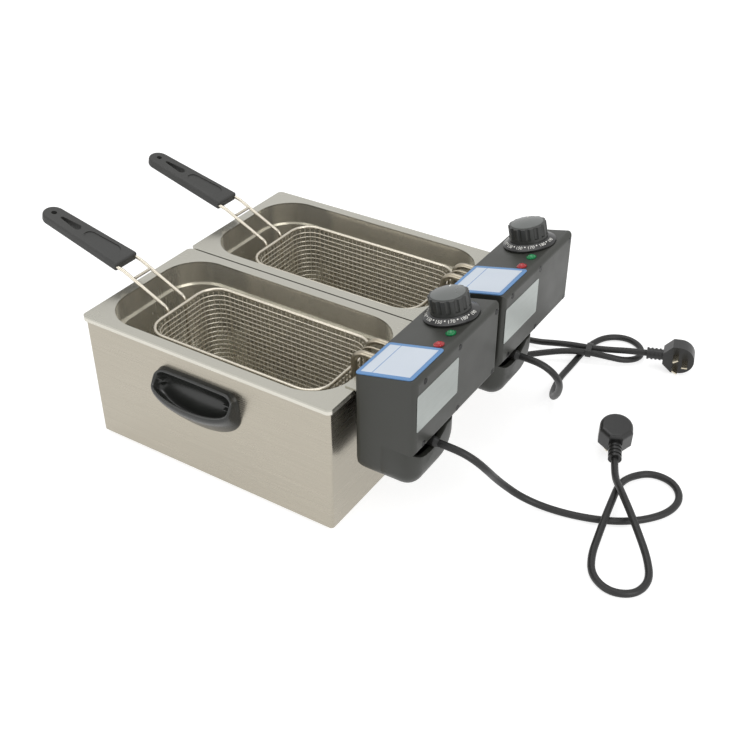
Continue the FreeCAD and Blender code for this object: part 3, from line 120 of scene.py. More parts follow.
def copyOf(piece, name, shift):
    pickOnly(piece)
    bpy.ops.object.duplicate(linked=False)
    twin = bpy.context.object
    twin.name = name
    twin.data.name = name
    placeInMesh(twin, Matrix.Translation(shift))
    return twin


def joined(name, pieces):
    pickOnly(*pieces)
    if len(pieces) > 1:
        bpy.ops.object.join()
    whole = bpy.context.object
    whole.name = name
    whole.data.name = name
    return whole


def wireFromEdges(name, thick):
    # turns the active piece's loose edges into round wire
    pickOnly(bpy.context.object)
    bpy.ops.object.convert(target="CURVE")
    piece = bpy.context.object
    piece.data.bevel_depth = thick / 2
    piece.data.bevel_resolution = 2
    piece.data.use_fill_caps = True
    bpy.ops.object.convert(target="MESH")
    piece = bpy.context.object
    piece.name = name
    bpy.ops.object.shade_smooth_by_angle(angle=math.radians(50))
    return piece


def dressPiece(piece, material, body):
    if not piece.data.materials:
        piece.data.materials.append(material)
    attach(piece, body)


# camera, at the photograph's viewing angle
cameraView = {"place": (0.86558, 0.67616, 0.79252), "tilt": 54.877, "heading": 122.302,
              "lens": 52.85, "sensor": 36}

cameraData = bpy.data.cameras.new("photoCamera")
cameraData.lens = cameraView["lens"]
cameraData.sensor_width = cameraView["sensor"]
camera = bpy.data.objects.new("photoCamera", cameraData)
camera.location = cameraView["place"]
camera.rotation_euler = Euler((math.radians(cameraView["tilt"]), 0, math.radians(cameraView["heading"])))
bpy.context.scene.collection.objects.link(camera)
bpy.context.scene.camera = camera
print("camera set")


# light, floor and background
lampLayout = [
    {"name": "windowSide", "place": (0.9, 2.3, 1.5), "aim": (0, 0.1, 0.1), "size": 1.6, "power": 26},
    {"name": "overhead", "place": (-0.2, -0.4, 2.4), "aim": (0, 0.05, 0.1), "size": 1.8, "power": 16},
    {"name": "lowFill", "place": (2.2, -0.9, 0.9), "aim": (0, 0.1, 0.1), "size": 1.4, "power": 10},
]
backdrop = {"light": 0.55, "white": (1, 1, 1, 1), "floorGlow": 0.72, "floorTone": "#C4C4C4",
            "reach": 14, "floorDrop": 0.0004}

for lamp in lampLayout:
    lampData = bpy.data.lights.new(lamp["name"], "AREA")
    lampData.size = lamp["size"]
    lampData.energy = lamp["power"]
    lampItem = bpy.data.objects.new(lamp["name"], lampData)
    lampItem.location = lamp["place"]
    aimLine = Vector(lamp["aim"]) - Vector(lamp["place"])
    lampItem.rotation_euler = aimLine.to_track_quat("-Z", "Y").to_euler()
    bpy.context.scene.collection.objects.link(lampItem)


def seenDirectly(tree):
    # 1 for rays that should meet the white background: camera, mirror and clear rays
    path = addNode(tree, "ShaderNodeLightPath")
    mirror = addNode(tree, "ShaderNodeMath", operation="MAXIMUM")
    tree.links.new(path.outputs["Is Camera Ray"], mirror.inputs[0])
    tree.links.new(path.outputs["Is Glossy Ray"], mirror.inputs[1])
    clear = addNode(tree, "ShaderNodeMath", operation="MAXIMUM")
    tree.links.new(mirror.outputs[0], clear.inputs[0])
    tree.links.new(path.outputs["Is Transmission Ray"], clear.inputs[1])
    return clear.outputs[0]


world = bpy.data.worlds.new("studioWhite")
bpy.context.scene.world = world
world.use_nodes = True
worldTree = world.node_tree
worldTree.nodes.clear()
roomLight = addNode(worldTree, "ShaderNodeBackground",
                    {"Color": backdrop["white"], "Strength": backdrop["light"]})
whiteWall = addNode(worldTree, "ShaderNodeBackground", {"Color": backdrop["white"], "Strength": 1.0})
worldMix = addNode(worldTree, "ShaderNodeMixShader", {0: seenDirectly(worldTree)})
worldTree.links.new(roomLight.outputs[0], worldMix.inputs[1])
worldTree.links.new(whiteWall.outputs[0], worldMix.inputs[2])
addNode(worldTree, "ShaderNodeOutputWorld", {"Surface": worldMix.outputs[0]})

deselect()
bpy.ops.mesh.primitive_grid_add(x_subdivisions=8, y_subdivisions=8, size=backdrop["reach"],
                                location=(0, 0, -backdrop["floorDrop"]))
floor = bpy.context.object
floor.name = "studioFloor"
floorPaint = bpy.data.materials.new("pale studio floor")
floorPaint.use_nodes = True
floorTree = floorPaint.node_tree
floorTree.nodes.clear()
floorMatt = addNode(floorTree, "ShaderNodeBsdfDiffuse", {"Color": hexColour(backdrop["floorTone"])})
floorLit = addNode(floorTree, "ShaderNodeMath", {0: seenDirectly(floorTree), 1: backdrop["floorGlow"]},
                   operation="MULTIPLY")
floorGlow = addNode(floorTree, "ShaderNodeEmission",
                    {"Color": backdrop["white"], "Strength": floorLit.outputs[0]})
floorSum = addNode(floorTree, "ShaderNodeAddShader")
floorTree.links.new(floorMatt.outputs[0], floorSum.inputs[0])
floorTree.links.new(floorGlow.outputs[0], floorSum.inputs[1])
addNode(floorTree, "ShaderNodeOutputMaterial", {"Surface": floorSum.outputs[0]})
floor.data.materials.append(floorPaint)
bpy.context.scene.view_settings.view_transform = "Standard"
print("studio ready")


# finishes

def brushedMetal(name, pale, dark, grain, rough, bumpDepth, smudge=14, metallic=1.0, flat=None):
    # rolled sheet: fine straight hairlines along the rolling direction and faint wipe marks
    material, tree, shader = startMaterial(name, Metallic=metallic)
    spot = addNode(tree, "ShaderNodeTexCoord")
    along = addNode(tree, "ShaderNodeMapping", {"Vector": spot.outputs["Object"], "Scale": grain})
    hairline = addNode(tree, "ShaderNodeTexNoise",
                       {"Vector": along.outputs[0], "Scale": 1.0, "Detail": 3.0, "Roughness": 0.6})
    wipe = addNode(tree, "ShaderNodeTexNoise",
                   {"Vector": spot.outputs["Object"], "Scale": smudge, "Detail": 2.0})
    tones = addNode(tree, "ShaderNodeMix", {"A": hexColour(pale), "B": hexColour(dark)}, data_type="RGBA")
    tree.links.new(hairline.outputs["Fac"], tones.inputs["Factor"])
    skinColour = tones.outputs["Result"]
    if flat:
        # the flat rim above this height is painted a darker tone, a painted shade for how the light falls on
        # it
        place = addNode(tree, "ShaderNodeSeparateXYZ", {"Vector": spot.outputs["Object"]})
        above = addNode(tree, "ShaderNodeMath", {0: place.outputs["Z"], 1: flat["height"]},
                        operation="GREATER_THAN")
        rim = addNode(tree, "ShaderNodeMix", {"B": hexColour(flat["tone"])}, data_type="RGBA")
        tree.links.new(above.outputs[0], rim.inputs["Factor"])
        tree.links.new(skinColour, rim.inputs["A"])
        skinColour = rim.outputs["Result"]
    tree.links.new(skinColour, shader.inputs["Base Color"])
    both = addNode(tree, "ShaderNodeMath", {0: hairline.outputs["Fac"], 1: wipe.outputs["Fac"]},
                   operation="MULTIPLY")
    sheen = addNode(tree, "ShaderNodeMapRange",
                    {"Value": both.outputs[0], "From Min": 0.1, "From Max": 0.45,
                     "To Min": rough[0], "To Max": rough[1]})
    tree.links.new(sheen.outputs[0], shader.inputs["Roughness"])
    bump = addNode(tree, "ShaderNodeBump",
                   {"Height": hairline.outputs["Fac"], "Strength": 0.25, "Distance": bumpDepth})
    tree.links.new(bump.outputs[0], shader.inputs["Normal"])
    return material


def mouldedPlastic(name, pale, dark, grainSize, rough, bumpDepth, **values):
    # injection moulded: a spark-eroded skin, with a little uneven gloss from handling
    material, tree, shader = startMaterial(name, **values)
    spot = addNode(tree, "ShaderNodeTexCoord")
    skin = addNode(tree, "ShaderNodeTexNoise",
                   {"Vector": spot.outputs["Object"], "Scale": 1 / grainSize, "Detail": 2.0})
    touch = addNode(tree, "ShaderNodeTexNoise",
                    {"Vector": spot.outputs["Object"], "Scale": 22.0, "Detail": 3.0})
    tones = addNode(tree, "ShaderNodeMix", {"A": hexColour(dark), "B": hexColour(pale)}, data_type="RGBA")
    tree.links.new(touch.outputs["Fac"], tones.inputs["Factor"])
    tree.links.new(tones.outputs["Result"], shader.inputs["Base Color"])
    sheen = addNode(tree, "ShaderNodeMapRange",
                    {"Value": touch.outputs["Fac"], "From Min": 0.3, "From Max": 0.7,
                     "To Min": rough[0], "To Max": rough[1]})
    tree.links.new(sheen.outputs[0], shader.inputs["Roughness"])
    bump = addNode(tree, "ShaderNodeBump",
                   {"Height": skin.outputs["Fac"], "Strength": 0.3, "Distance": bumpDepth})
    tree.links.new(bump.outputs[0], shader.inputs["Normal"])
    return material


# satin stainless, hairlines run level round the outer walls
casingSteel = brushedMetal("satin stainless casing", "#B3ADA0", "#A39D90",
                           grain=(9, 9, 1500), rough=(0.24, 0.34), bumpDepth=0.00003)
# pressed pan: smoother, drawn lines run front to back; its flat rim gets a painted shade
panSteel = brushedMetal("pressed stainless pan", "#D8D5CB", "#CCC9BE",
                        grain=(700, 10, 60), rough=(0.2, 0.3), bumpDepth=0.00001, smudge=9, metallic=0.82,
                        flat={"height": 0.1585, "tone": "#B7B5AB"})
# sheathed element: dull from the heat
elementAlloy = brushedMetal("heat-dulled element sheath", "#B0A897", "#938B7B", grain=(700, 700, 90),
                            rough=(0.26, 0.38), bumpDepth=0.00001, smudge=60, metallic=0.92)
# plated wire: bright with a drawn grain too fine to see apart
platedWire = brushedMetal("nickel plated wire", "#D3CDC0", "#BFB8A8", grain=(600, 600, 600),
                          rough=(0.24, 0.36), bumpDepth=0.000004, smudge=80, metallic=0.8)
# thicker rim and handle wire, plated the same but a little duller
rimWire = brushedMetal("nickel plated rim wire", "#D0CABD", "#BAB3A4", grain=(600, 600, 600),
                       rough=(0.22, 0.34), bumpDepth=0.000004, smudge=80, metallic=0.92)
screwSteel = brushedMetal("zinc plated screw", "#7C7A75", "#5A5854", grain=(1200, 1200, 1200),
                          rough=(0.24, 0.36), bumpDepth=0.00002, smudge=300)
# countersunk cover screws, painted near black: a painted shade for the dark recesses they sit in
coverScrewShade = brushedMetal("blackened zinc screw", "#161615", "#080808", grain=(1500, 1500, 1500),
                          rough=(0.3, 0.42), bumpDepth=0.00003, smudge=300)
pinPlate = brushedMetal("nickel plated brass pin", "#CFC8B6", "#B9AF98", grain=(300, 300, 2000),
                        rough=(0.2, 0.3), bumpDepth=0.00001, smudge=200)
foil = brushedMetal("bare aluminium foil plate", "#B3B8B5", "#A6ABA8", grain=(30, 900, 2600),
                    rough=(0.34, 0.46), bumpDepth=0.00002, smudge=60)

headPlastic = mouldedPlastic("charcoal moulded head", "#363732", "#2E2F2B",
                             grainSize=0.0005, rough=(0.38, 0.48), bumpDepth=0.00002)
# the cord guard is the head's plastic painted a little darker, a painted shade for its place under the head
guardShadedPlastic = mouldedPlastic("dark moulded cord guard", "#33342F", "#2B2C28",
                              grainSize=0.0005, rough=(0.36, 0.46), bumpDepth=0.00002)
knobPlastic = mouldedPlastic("dark phenolic knob", "#363735", "#2B2C2A",
                             grainSize=0.0005, rough=(0.36, 0.46), bumpDepth=0.00002)
# knob cap: painted a lighter grey than the knob, a painted highlight for the light on the knob's top
capHighlightPlastic = mouldedPlastic("grey knob cap", "#6A6D6B", "#5C5F5D",
                            grainSize=0.0005, rough=(0.22, 0.32), bumpDepth=0.00001)
skirtPlastic = mouldedPlastic("black dial skirt", "#1E1E1E", "#161616",
                              grainSize=0.0004, rough=(0.25, 0.36), bumpDepth=0.00001)
gripPlastic = mouldedPlastic("matt phenolic grip", "#383836", "#2C2C2B",
                             grainSize=0.0007, rough=(0.5, 0.64), bumpDepth=0.00006)
cupPlastic = mouldedPlastic("gloss black cup handle", "#2C2D2B", "#222321",
                            grainSize=0.004, rough=(0.18, 0.28), bumpDepth=0.00002)
innerPlastic = mouldedPlastic("inner terminal plastic", "#C9C2AE", "#B7AF9A",
                              grainSize=0.0006, rough=(0.4, 0.5), bumpDepth=0.00002)
footRubber = mouldedPlastic("black rubber foot", "#242424", "#181818",
                            grainSize=0.0006, rough=(0.7, 0.82), bumpDepth=0.00008)
cordSkin = mouldedPlastic("black vinyl cord", "#171716", "#101010",
                          grainSize=0.0008, rough=(0.42, 0.54), bumpDepth=0.00002)
plugSkin = mouldedPlastic("black vinyl plug", "#232322", "#191919",
                          grainSize=0.0006, rough=(0.3, 0.42), bumpDepth=0.00003)
greenLens = mouldedPlastic("green lamp lens", "#0E9A5A", "#08753F", grainSize=0.002,
                           rough=(0.08, 0.16), bumpDepth=0.00002, Transmission_Weight=0.25)
redLens = mouldedPlastic("red lamp lens", "#C93A3F", "#A3252B", grainSize=0.002,
                         rough=(0.08, 0.16), bumpDepth=0.00002, Transmission_Weight=0.25)
labelBlue = mouldedPlastic("blue printed polyester", "#6595C8", "#5686BB",
                           grainSize=0.0003, rough=(0.3, 0.4), bumpDepth=0.00001)
labelPale = mouldedPlastic("pale printed polyester", "#D6DEE8", "#C9D3DF",
                           grainSize=0.0003, rough=(0.3, 0.4), bumpDepth=0.00001)
dialWhite = mouldedPlastic("white dial print", "#F0EFEA", "#E2E1DB",
                           grainSize=0.0003, rough=(0.45, 0.55), bumpDepth=0.00001)

nodeFinish = {
    "outer_casing": casingSteel, "base_plate": casingSteel, "centre_rail": casingSteel,
    "rubber_feet": footRubber, "carry_handle": cupPlastic, "carry_handle_screws": screwSteel,
    "tank": panSteel, "hanger_bracket": panSteel,
    "heating_element": elementAlloy, "element_stays": elementAlloy, "thermostat_bulb": elementAlloy,
    "head_housing": headPlastic, "head_cover": headPlastic, "cord_guard": guardShadedPlastic,
    "cover_screws": coverScrewShade, "terminal_block": innerPlastic, "thermal_cutout": innerPlastic,
    "microswitch": innerPlastic, "thermostat": innerPlastic, "spindle": screwSteel,
    "dial_skirt": skirtPlastic, "knob": knobPlastic, "green_lamp": greenLens, "red_lamp": redLens,
    "basket_frame": rimWire, "basket_handle_wires": rimWire, "basket_mesh": platedWire,
    "basket_grip": gripPlastic, "cord_bush": plugSkin, "mains_plug": plugSkin,
    "plug_pins": pinPlate, "cord_tie": plugSkin, "mains_cord": cordSkin,
}
for nodeName, nodeObject in nodes.items():
    plainName = nodeName.replace("right_", "").replace("left_", "")
    finish = nodeFinish[plainName]
    if not nodeObject.material_slots:
        nodeObject.data.materials.append(finish)
    for slot in nodeObject.material_slots:
        slot.material = finish
print("finishes on", len(nodes), "nodes")


# mains cords, lying as the photograph shows, points in metres
cordSpec = {"thick": 0.008, "turnSteps": 16, "roundness": 5}
cordRoutes = {
    "right": [
        (0.1085, 0.2729, 0.108), (0.1085, 0.287, 0.108), (0.1065, 0.301, 0.105), (0.1, 0.312, 0.095),
        (0.088, 0.318, 0.078), (0.07, 0.319, 0.056), (0.052, 0.323, 0.034), (0.038, 0.335, 0.015),
        (0.03, 0.356, 0.0055), (0.026, 0.382, 0.0042), (0.019, 0.409, 0.0042), (0.008, 0.435, 0.0042),
        (-0.011, 0.459, 0.0042), (-0.036, 0.476, 0.0042), (-0.063, 0.478, 0.0042), (-0.084, 0.462, 0.0042),
        (-0.086, 0.436, 0.0042), (-0.067, 0.419, 0.005), (-0.041, 0.415, 0.011), (-0.014, 0.419, 0.013),
        (0.015, 0.423, 0.013), (0.043, 0.427, 0.009), (0.07, 0.431, 0.0044), (0.095, 0.442, 0.0042),
        (0.107, 0.465, 0.0042), (0.097, 0.488, 0.0042), (0.072, 0.494, 0.0042), (0.048, 0.482, 0.008),
        (0.025, 0.462, 0.016), (0.002, 0.442, 0.0215), (-0.022, 0.423, 0.0215), (-0.046, 0.407, 0.015),
        (-0.068, 0.398, 0.0196)],
    "left": [
        (-0.0735, 0.2729, 0.108), (-0.0735, 0.287, 0.108), (-0.075, 0.301, 0.105), (-0.08, 0.312, 0.095),
        (-0.09, 0.316, 0.078), (-0.104, 0.311, 0.057), (-0.121, 0.301, 0.035), (-0.142, 0.289, 0.016),
        (-0.168, 0.279, 0.0057), (-0.199, 0.274, 0.0042), (-0.231, 0.275, 0.0042), (-0.263, 0.275, 0.0042),
        (-0.293, 0.277, 0.0042), (-0.318, 0.288, 0.0042), (-0.329, 0.311, 0.0042), (-0.319, 0.334, 0.0042),
        (-0.296, 0.343, 0.0042), (-0.274, 0.331, 0.007), (-0.263, 0.309, 0.012), (-0.257, 0.284, 0.0135),
        (-0.245, 0.259, 0.0135), (-0.231, 0.234, 0.009), (-0.217, 0.211, 0.0047), (-0.204, 0.188, 0.0042),
        (-0.201, 0.162, 0.0042), (-0.212, 0.138, 0.0042), (-0.236, 0.13, 0.0042), (-0.257, 0.144, 0.0042),
        (-0.261, 0.17, 0.0042), (-0.254, 0.196, 0.005), (-0.252, 0.22, 0.009), (-0.256, 0.243, 0.013),
        (-0.263, 0.264, 0.0135), (-0.268, 0.285, 0.0135), (-0.275, 0.308, 0.015), (-0.282, 0.33, 0.0175),
        (-0.288, 0.3514, 0.0187)],
}

for side, route in cordRoutes.items():
    line = bpy.data.curves.new(side + "_cord", "CURVE")
    line.dimensions = "3D"
    run = line.splines.new("NURBS")
    run.points.add(len(route) - 1)
    for point, place in zip(run.points, route):
        point.co = (*place, 1)
    run.order_u = 3
    run.use_endpoint_u = True
    line.resolution_u = cordSpec["turnSteps"]
    line.bevel_depth = cordSpec["thick"] / 2
    line.bevel_resolution = cordSpec["roundness"]
    line.use_fill_caps = True
    line.materials.append(cordSkin)
    cord = bpy.data.objects.new(side + "_cord", line)
    bpy.context.scene.collection.objects.link(cord)
    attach(cord, side + "_head")
    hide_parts(side + "_mains_cord")
print("cords laid")


# wire baskets: level rings, upright wires and a floor grid of round welded wire
basketSpec = {
    "half": (0.0547, 0.1117), "corner": 0.0252, "low": 0.0338, "top": 0.144, "middleY": casingY + 0.011,
    "wire": 0.0013, "pitch": 0.0061, "floorBend": 0.006,
    "rimLap": 0.0012,  # upright wires stop this far below the top of the rim
    "firstRing": 0.007,  # from the floor up to the first level ring
    "lowRise": 0.0028, "lowInset": 0.003, "lowThicker": 1.5,  # the ring where walls meet floor
    "cornerTuck": 0.0006, "cornerSteps": 6,  # upright wires round a corner
    "cornerMargin": 0.004, "endGap": 0.001,  # floor wires that end at a corner
}


def loopOutline(halfX, halfY, corner, height):
    # a rounded rectangle of loose edges
    deselect()
    bpy.ops.mesh.primitive_plane_add(size=2, location=(0, 0, 0))
    bpy.ops.object.mode_set(mode="EDIT")
    bpy.ops.transform.resize(value=(halfX, halfY, 1))
    bpy.ops.transform.translate(value=(0, 0, height))
    bpy.ops.mesh.bevel(offset=corner, segments=7, affect="VERTICES")
    bpy.ops.mesh.select_all(action="SELECT")
    bpy.ops.mesh.delete(type="ONLY_FACE")
    bpy.ops.object.mode_set(mode="OBJECT")


def hoopWire(halfSpan, low, top, bend, turn):
    # an upright wire that crosses the floor and climbs the far wall
    deselect()
    bpy.ops.mesh.primitive_plane_add(size=2, location=(0, 0, 0), rotation=(math.pi / 2, 0, turn))
    bpy.ops.object.transform_apply(location=True, rotation=True, scale=True)
    bpy.ops.object.mode_set(mode="EDIT")
    halfRise = (top - low) / 2
    bpy.ops.transform.resize(value=(halfSpan, 1, halfRise) if turn == 0 else (1, halfSpan, halfRise))
    bpy.ops.transform.translate(value=(0, 0, (top + low) / 2))
    bpy.ops.mesh.delete(type="ONLY_FACE")
    selectWhere("EDGE", lambda middle: middle.z > top - near)
    bpy.ops.mesh.delete(type="EDGE")
    selectWhere("VERT", lambda middle: middle.z < low + near)
    bpy.ops.mesh.bevel(offset=bend, segments=4, affect="VERTICES")
    bpy.ops.object.mode_set(mode="OBJECT")


def straightWire(start, end):
    # one edge of a unit plane is kept, and its two ends are moved into place
    deselect()
    bpy.ops.mesh.primitive_plane_add(size=1, location=(0, 0, 0))
    bpy.ops.object.mode_set(mode="EDIT")
    selectWhere("VERT", lambda middle: middle.y > 0)
    bpy.ops.mesh.delete(type="VERT")
    selectWhere("VERT", lambda middle: middle.x < 0)
    bpy.ops.transform.translate(value=Vector(start) - Vector((-0.5, -0.5, 0)))
    selectWhere("VERT", lambda middle: middle.x > 0.45)
    bpy.ops.transform.translate(value=Vector(end) - Vector((0.5, -0.5, 0)))
    bpy.ops.object.mode_set(mode="OBJECT")


def rowOf(piece, count, step):
    row = piece.modifiers.new("row", "ARRAY")
    row.use_relative_offset = False
    row.use_constant_offset = True
    row.constant_offset_displace = step
    row.count = count
    applyAll(piece)
    return piece


def hoopRow(name, count, shift, step):
    # moves the active hoop to the start of its row, then thickens and repeats it
    bpy.ops.transform.translate(value=shift)
    bpy.ops.object.transform_apply(location=True, rotation=False, scale=False)
    return rowOf(wireFromEdges(name, basketSpec["wire"]), count, step)


def cornerDraw(past):
    # how far the rounded corner has drawn in at this distance past its start
    corner = basketSpec["corner"]
    return corner - math.sqrt(max(corner ** 2 - past ** 2, 0))


def buildBasketMesh():
    halfX, halfY = basketSpec["half"]
    wire, pitch, corner = basketSpec["wire"], basketSpec["pitch"], basketSpec["corner"]
    low, top = basketSpec["low"] + wire / 2, basketSpec["top"] - basketSpec["rimLap"]
    outX, outY = halfX - wire / 2, halfY - wire / 2  # upright wires stand outside the rings
    inX, inY = outX - wire, outY - wire
    straightX, straightY = halfX - corner, halfY - corner
    bend, endGap = basketSpec["floorBend"], basketSpec["endGap"]
    parts = []
    # level rings, one above the other up to the rim
    ringCount = int((top - low - basketSpec["firstRing"]) / pitch) + 1
    loopOutline(inX, inY, corner - wire, low + basketSpec["firstRing"])
    parts.append(rowOf(wireFromEdges("rings", wire), ringCount, (0, 0, pitch)))
    # hoops across the basket along its straight sides
    crossCount = int(2 * straightY / pitch) + 1
    crossStart = -(crossCount - 1) * pitch / 2
    hoopWire(outX, low, top, bend, 0)
    parts.append(hoopRow("crossHoops", crossCount, (0, crossStart, 0), (0, pitch, 0)))
    # hoops along the basket, laid over the cross hoops on the floor
    longCount = int(2 * straightX / pitch) + 1
    longStart = -(longCount - 1) * pitch / 2
    hoopWire(outY, low + wire, top, bend, math.pi / 2)
    parts.append(hoopRow("longHoops", longCount, (longStart, 0, 0), (pitch, 0, 0)))
    # upright wires round one corner, spun about the corner's middle, then mirrored to the other three
    cornerX = outX - basketSpec["cornerTuck"]
    straightWire((cornerX, straightY, low), (cornerX, straightY, top))
    bpy.ops.object.mode_set(mode="EDIT")
    bpy.ops.mesh.select_all(action="SELECT")
    bpy.ops.mesh.spin(steps=basketSpec["cornerSteps"], dupli=True, angle=math.radians(-90),
                      center=(straightX, straightY, 0), axis=(0, 0, 1))
    bpy.ops.object.mode_set(mode="OBJECT")
    cornerSet = [wireFromEdges("cornerWires", wire)]
    # floor wires that fill the corners, ending on the lowest ring
    for count in range(int((corner - basketSpec["cornerMargin"]) / pitch)):
        step = (count + 1) * pitch
        alongX = straightX - (straightX % pitch) + step
        endY = outY - cornerDraw(alongX - straightX) - endGap
        straightWire((alongX, 0, low + wire), (alongX, endY, low + wire))
        cornerSet.append(wireFromEdges("floorWire", wire))
        alongY = (crossCount - 1) * pitch / 2 + step
        endX = outX - cornerDraw(alongY - straightY) - endGap
        straightWire((0, alongY, low), (endX, alongY, low))
        cornerSet.append(wireFromEdges("floorWire", wire))
    fan = joined("cornerFan", cornerSet)
    fold = fan.modifiers.new("fourCorners", "MIRROR")
    fold.use_axis = (True, True, False)
    applyAll(fan)
    bpy.ops.object.mode_set(mode="EDIT")
    bpy.ops.mesh.select_all(action="SELECT")
    bpy.ops.mesh.normals_make_consistent(inside=False)
    bpy.ops.object.mode_set(mode="OBJECT")
    parts.append(fan)
    # the lowest ring, where the walls turn into the floor
    inset = basketSpec["lowInset"]
    loopOutline(inX - inset, inY - inset, corner - wire - inset, low + basketSpec["lowRise"])
    parts.append(wireFromEdges("lowRing", wire * basketSpec["lowThicker"]))
    return joined("right_basket_wires", parts)


basketWires = buildBasketMesh()
leftWires = copyOf(basketWires, "left_basket_wires", (sides["left"], basketSpec["middleY"], 0))
placeInMesh(basketWires, Matrix.Translation((sides["right"], basketSpec["middleY"], 0)))
for side, wires in (("right", basketWires), ("left", leftWires)):
    wires.data.materials.clear()
    dressPiece(wires, platedWire, side + "_basket")
    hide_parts(side + "_basket_mesh")
print("basket wires:", len(basketWires.data.polygons), "faces each")


# cord guards under the heads: a hollow moulding with full round corners and a crescent slot for the cord
guardSpec = {
    "low": (0.060, 0.22987, 0.068), "high": (0.149, 0.26787, 0.114),
    "nearRound": 0.018, "farRound": 0.034, "backRound": 0.0175, "edge": 0.0007,
    "wall": 0.0025, "openPast": 0.0006,  # the hollow runs this far past its open sides
    "slotX": 0.115, "slotRadius": 0.045, "slotSag": 0.013, "slotBar": 0.03,
}


def cutWith(piece, tool):
    cut = piece.modifiers.new("cut", "BOOLEAN")
    cut.operation = "DIFFERENCE"
    cut.object = tool
    applyAll(piece)
    pickOnly(tool)
    bpy.ops.object.delete()


def buildGuard():
    low, high = Vector(guardSpec["low"]), Vector(guardSpec["high"])
    deselect()
    bpy.ops.mesh.primitive_cube_add(size=1, location=(0, 0, 0))
    bpy.ops.object.mode_set(mode="EDIT")
    bpy.ops.transform.resize(value=high - low)
    bpy.ops.transform.translate(value=(high + low) / 2)
    selectWhere("EDGE", lambda middle: middle.x > high.x - near and middle.z < low.z + near)
    bpy.ops.mesh.bevel(offset=guardSpec["nearRound"], segments=8, affect="EDGES")
    selectWhere("EDGE", lambda middle: middle.x < low.x + near and middle.z < low.z + near)
    bpy.ops.mesh.bevel(offset=guardSpec["farRound"], segments=12, affect="EDGES")
    selectWhere("EDGE", lambda middle: middle.y > high.y - near and middle.z < high.z - near)
    bpy.ops.mesh.bevel(offset=guardSpec["backRound"], segments=8, affect="EDGES")
    bpy.ops.object.mode_set(mode="OBJECT")
    guard = bpy.context.object
    # the hollow, a slightly smaller copy that opens to the front and the top
    core = copyOf(guard, "guardCore", (0, 0, 0))
    pickOnly(core)
    wall, past = guardSpec["wall"], guardSpec["openPast"]
    anchor = Vector(((low.x + high.x) / 2, low.y, high.z))
    span = high - low
    shrink = (1 - 2 * wall / span.x, 1 - 2 * wall / span.y, 1 - wall / span.z)
    bpy.ops.object.mode_set(mode="EDIT")
    bpy.ops.mesh.select_all(action="SELECT")
    bpy.ops.transform.resize(value=shrink, center_override=anchor)
    bpy.ops.transform.translate(value=(0, -past, past))
    bpy.ops.object.mode_set(mode="OBJECT")
    cutWith(guard, core)
    # the crescent, cut by a round bar that lies across the back wall
    radius = guardSpec["slotRadius"]
    barPlace = (guardSpec["slotX"], high.y, high.z + radius - guardSpec["slotSag"])
    deselect()
    bpy.ops.mesh.primitive_cylinder_add(vertices=96, radius=radius, depth=guardSpec["slotBar"],
                                        rotation=(math.pi / 2, 0, 0), location=barPlace)
    bar = bpy.context.object
    bpy.ops.object.transform_apply(location=True, rotation=True, scale=True)
    cutWith(guard, bar)
    soft = guard.modifiers.new("softEdge", "BEVEL")
    soft.width = guardSpec["edge"]
    soft.segments = 2
    soft.limit_method = "ANGLE"
    soft.angle_limit = math.radians(40)
    applyAll(guard)
    bpy.ops.object.shade_smooth_by_angle(angle=math.radians(35))
    guard.name = "right_guard"
    guard.data.name = "right_guard"
    return guard


guard = buildGuard()
for side, piece in (("right", guard), ("left", copyOf(guard, "left_guard", shiftLeft))):
    dressPiece(piece, guardShadedPlastic, side + "_head")
    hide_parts(side + "_cord_guard")
print("cord guards:", len(guard.data.polygons), "faces each")


# bare label plate on the panel and bare foil plate on the back cover
panelSpec = {"tilt": math.radians(12.875), "lowY": casingY + 0.168, "lowZ": 0.188}
labelSpec = {
    "acrossX": (-0.006, 0.0572), "alongSlope": (0.0015, 0.0665), "thick": 0.0011, "lift": 0.00005,
    "corner": 0.0042, "border": 0.0042, "strip": 0.013, "divider": 0.0009,
}
foilSpec = {
    "acrossX": (-0.025, 0.0545), "fromZ": 0.1425, "toZ": 0.1855, "faceY": casingY + 0.238, "thick": 0.0004,
    "corner": 0.002, "margin": 0.0012, "line": 0.0004, "lineDepth": 0.00012,
}
plateEdge = 0.35  # share of a plate's thickness that its top edge rounds off


def plateBlank(width, height, corner, thick):
    # a flat plate with rounded corners and a softened top edge, lying on the XY plane
    deselect()
    bpy.ops.mesh.primitive_plane_add(size=1, location=(0, 0, 0))
    bpy.ops.object.mode_set(mode="EDIT")
    bpy.ops.transform.resize(value=(width, height, 1))
    bpy.ops.mesh.bevel(offset=corner, segments=5, affect="VERTICES")
    bpy.ops.mesh.select_all(action="SELECT")
    bpy.ops.mesh.extrude_region_move(TRANSFORM_OT_translate={"value": (0, 0, thick)})
    bpy.ops.mesh.bevel(offset=thick * plateEdge, segments=2, affect="EDGES")
    # leaves the flat top selected
    selectWhere("FACE", lambda middle: max(abs(middle.x), abs(middle.y)) < near and middle.z > thick / 2)


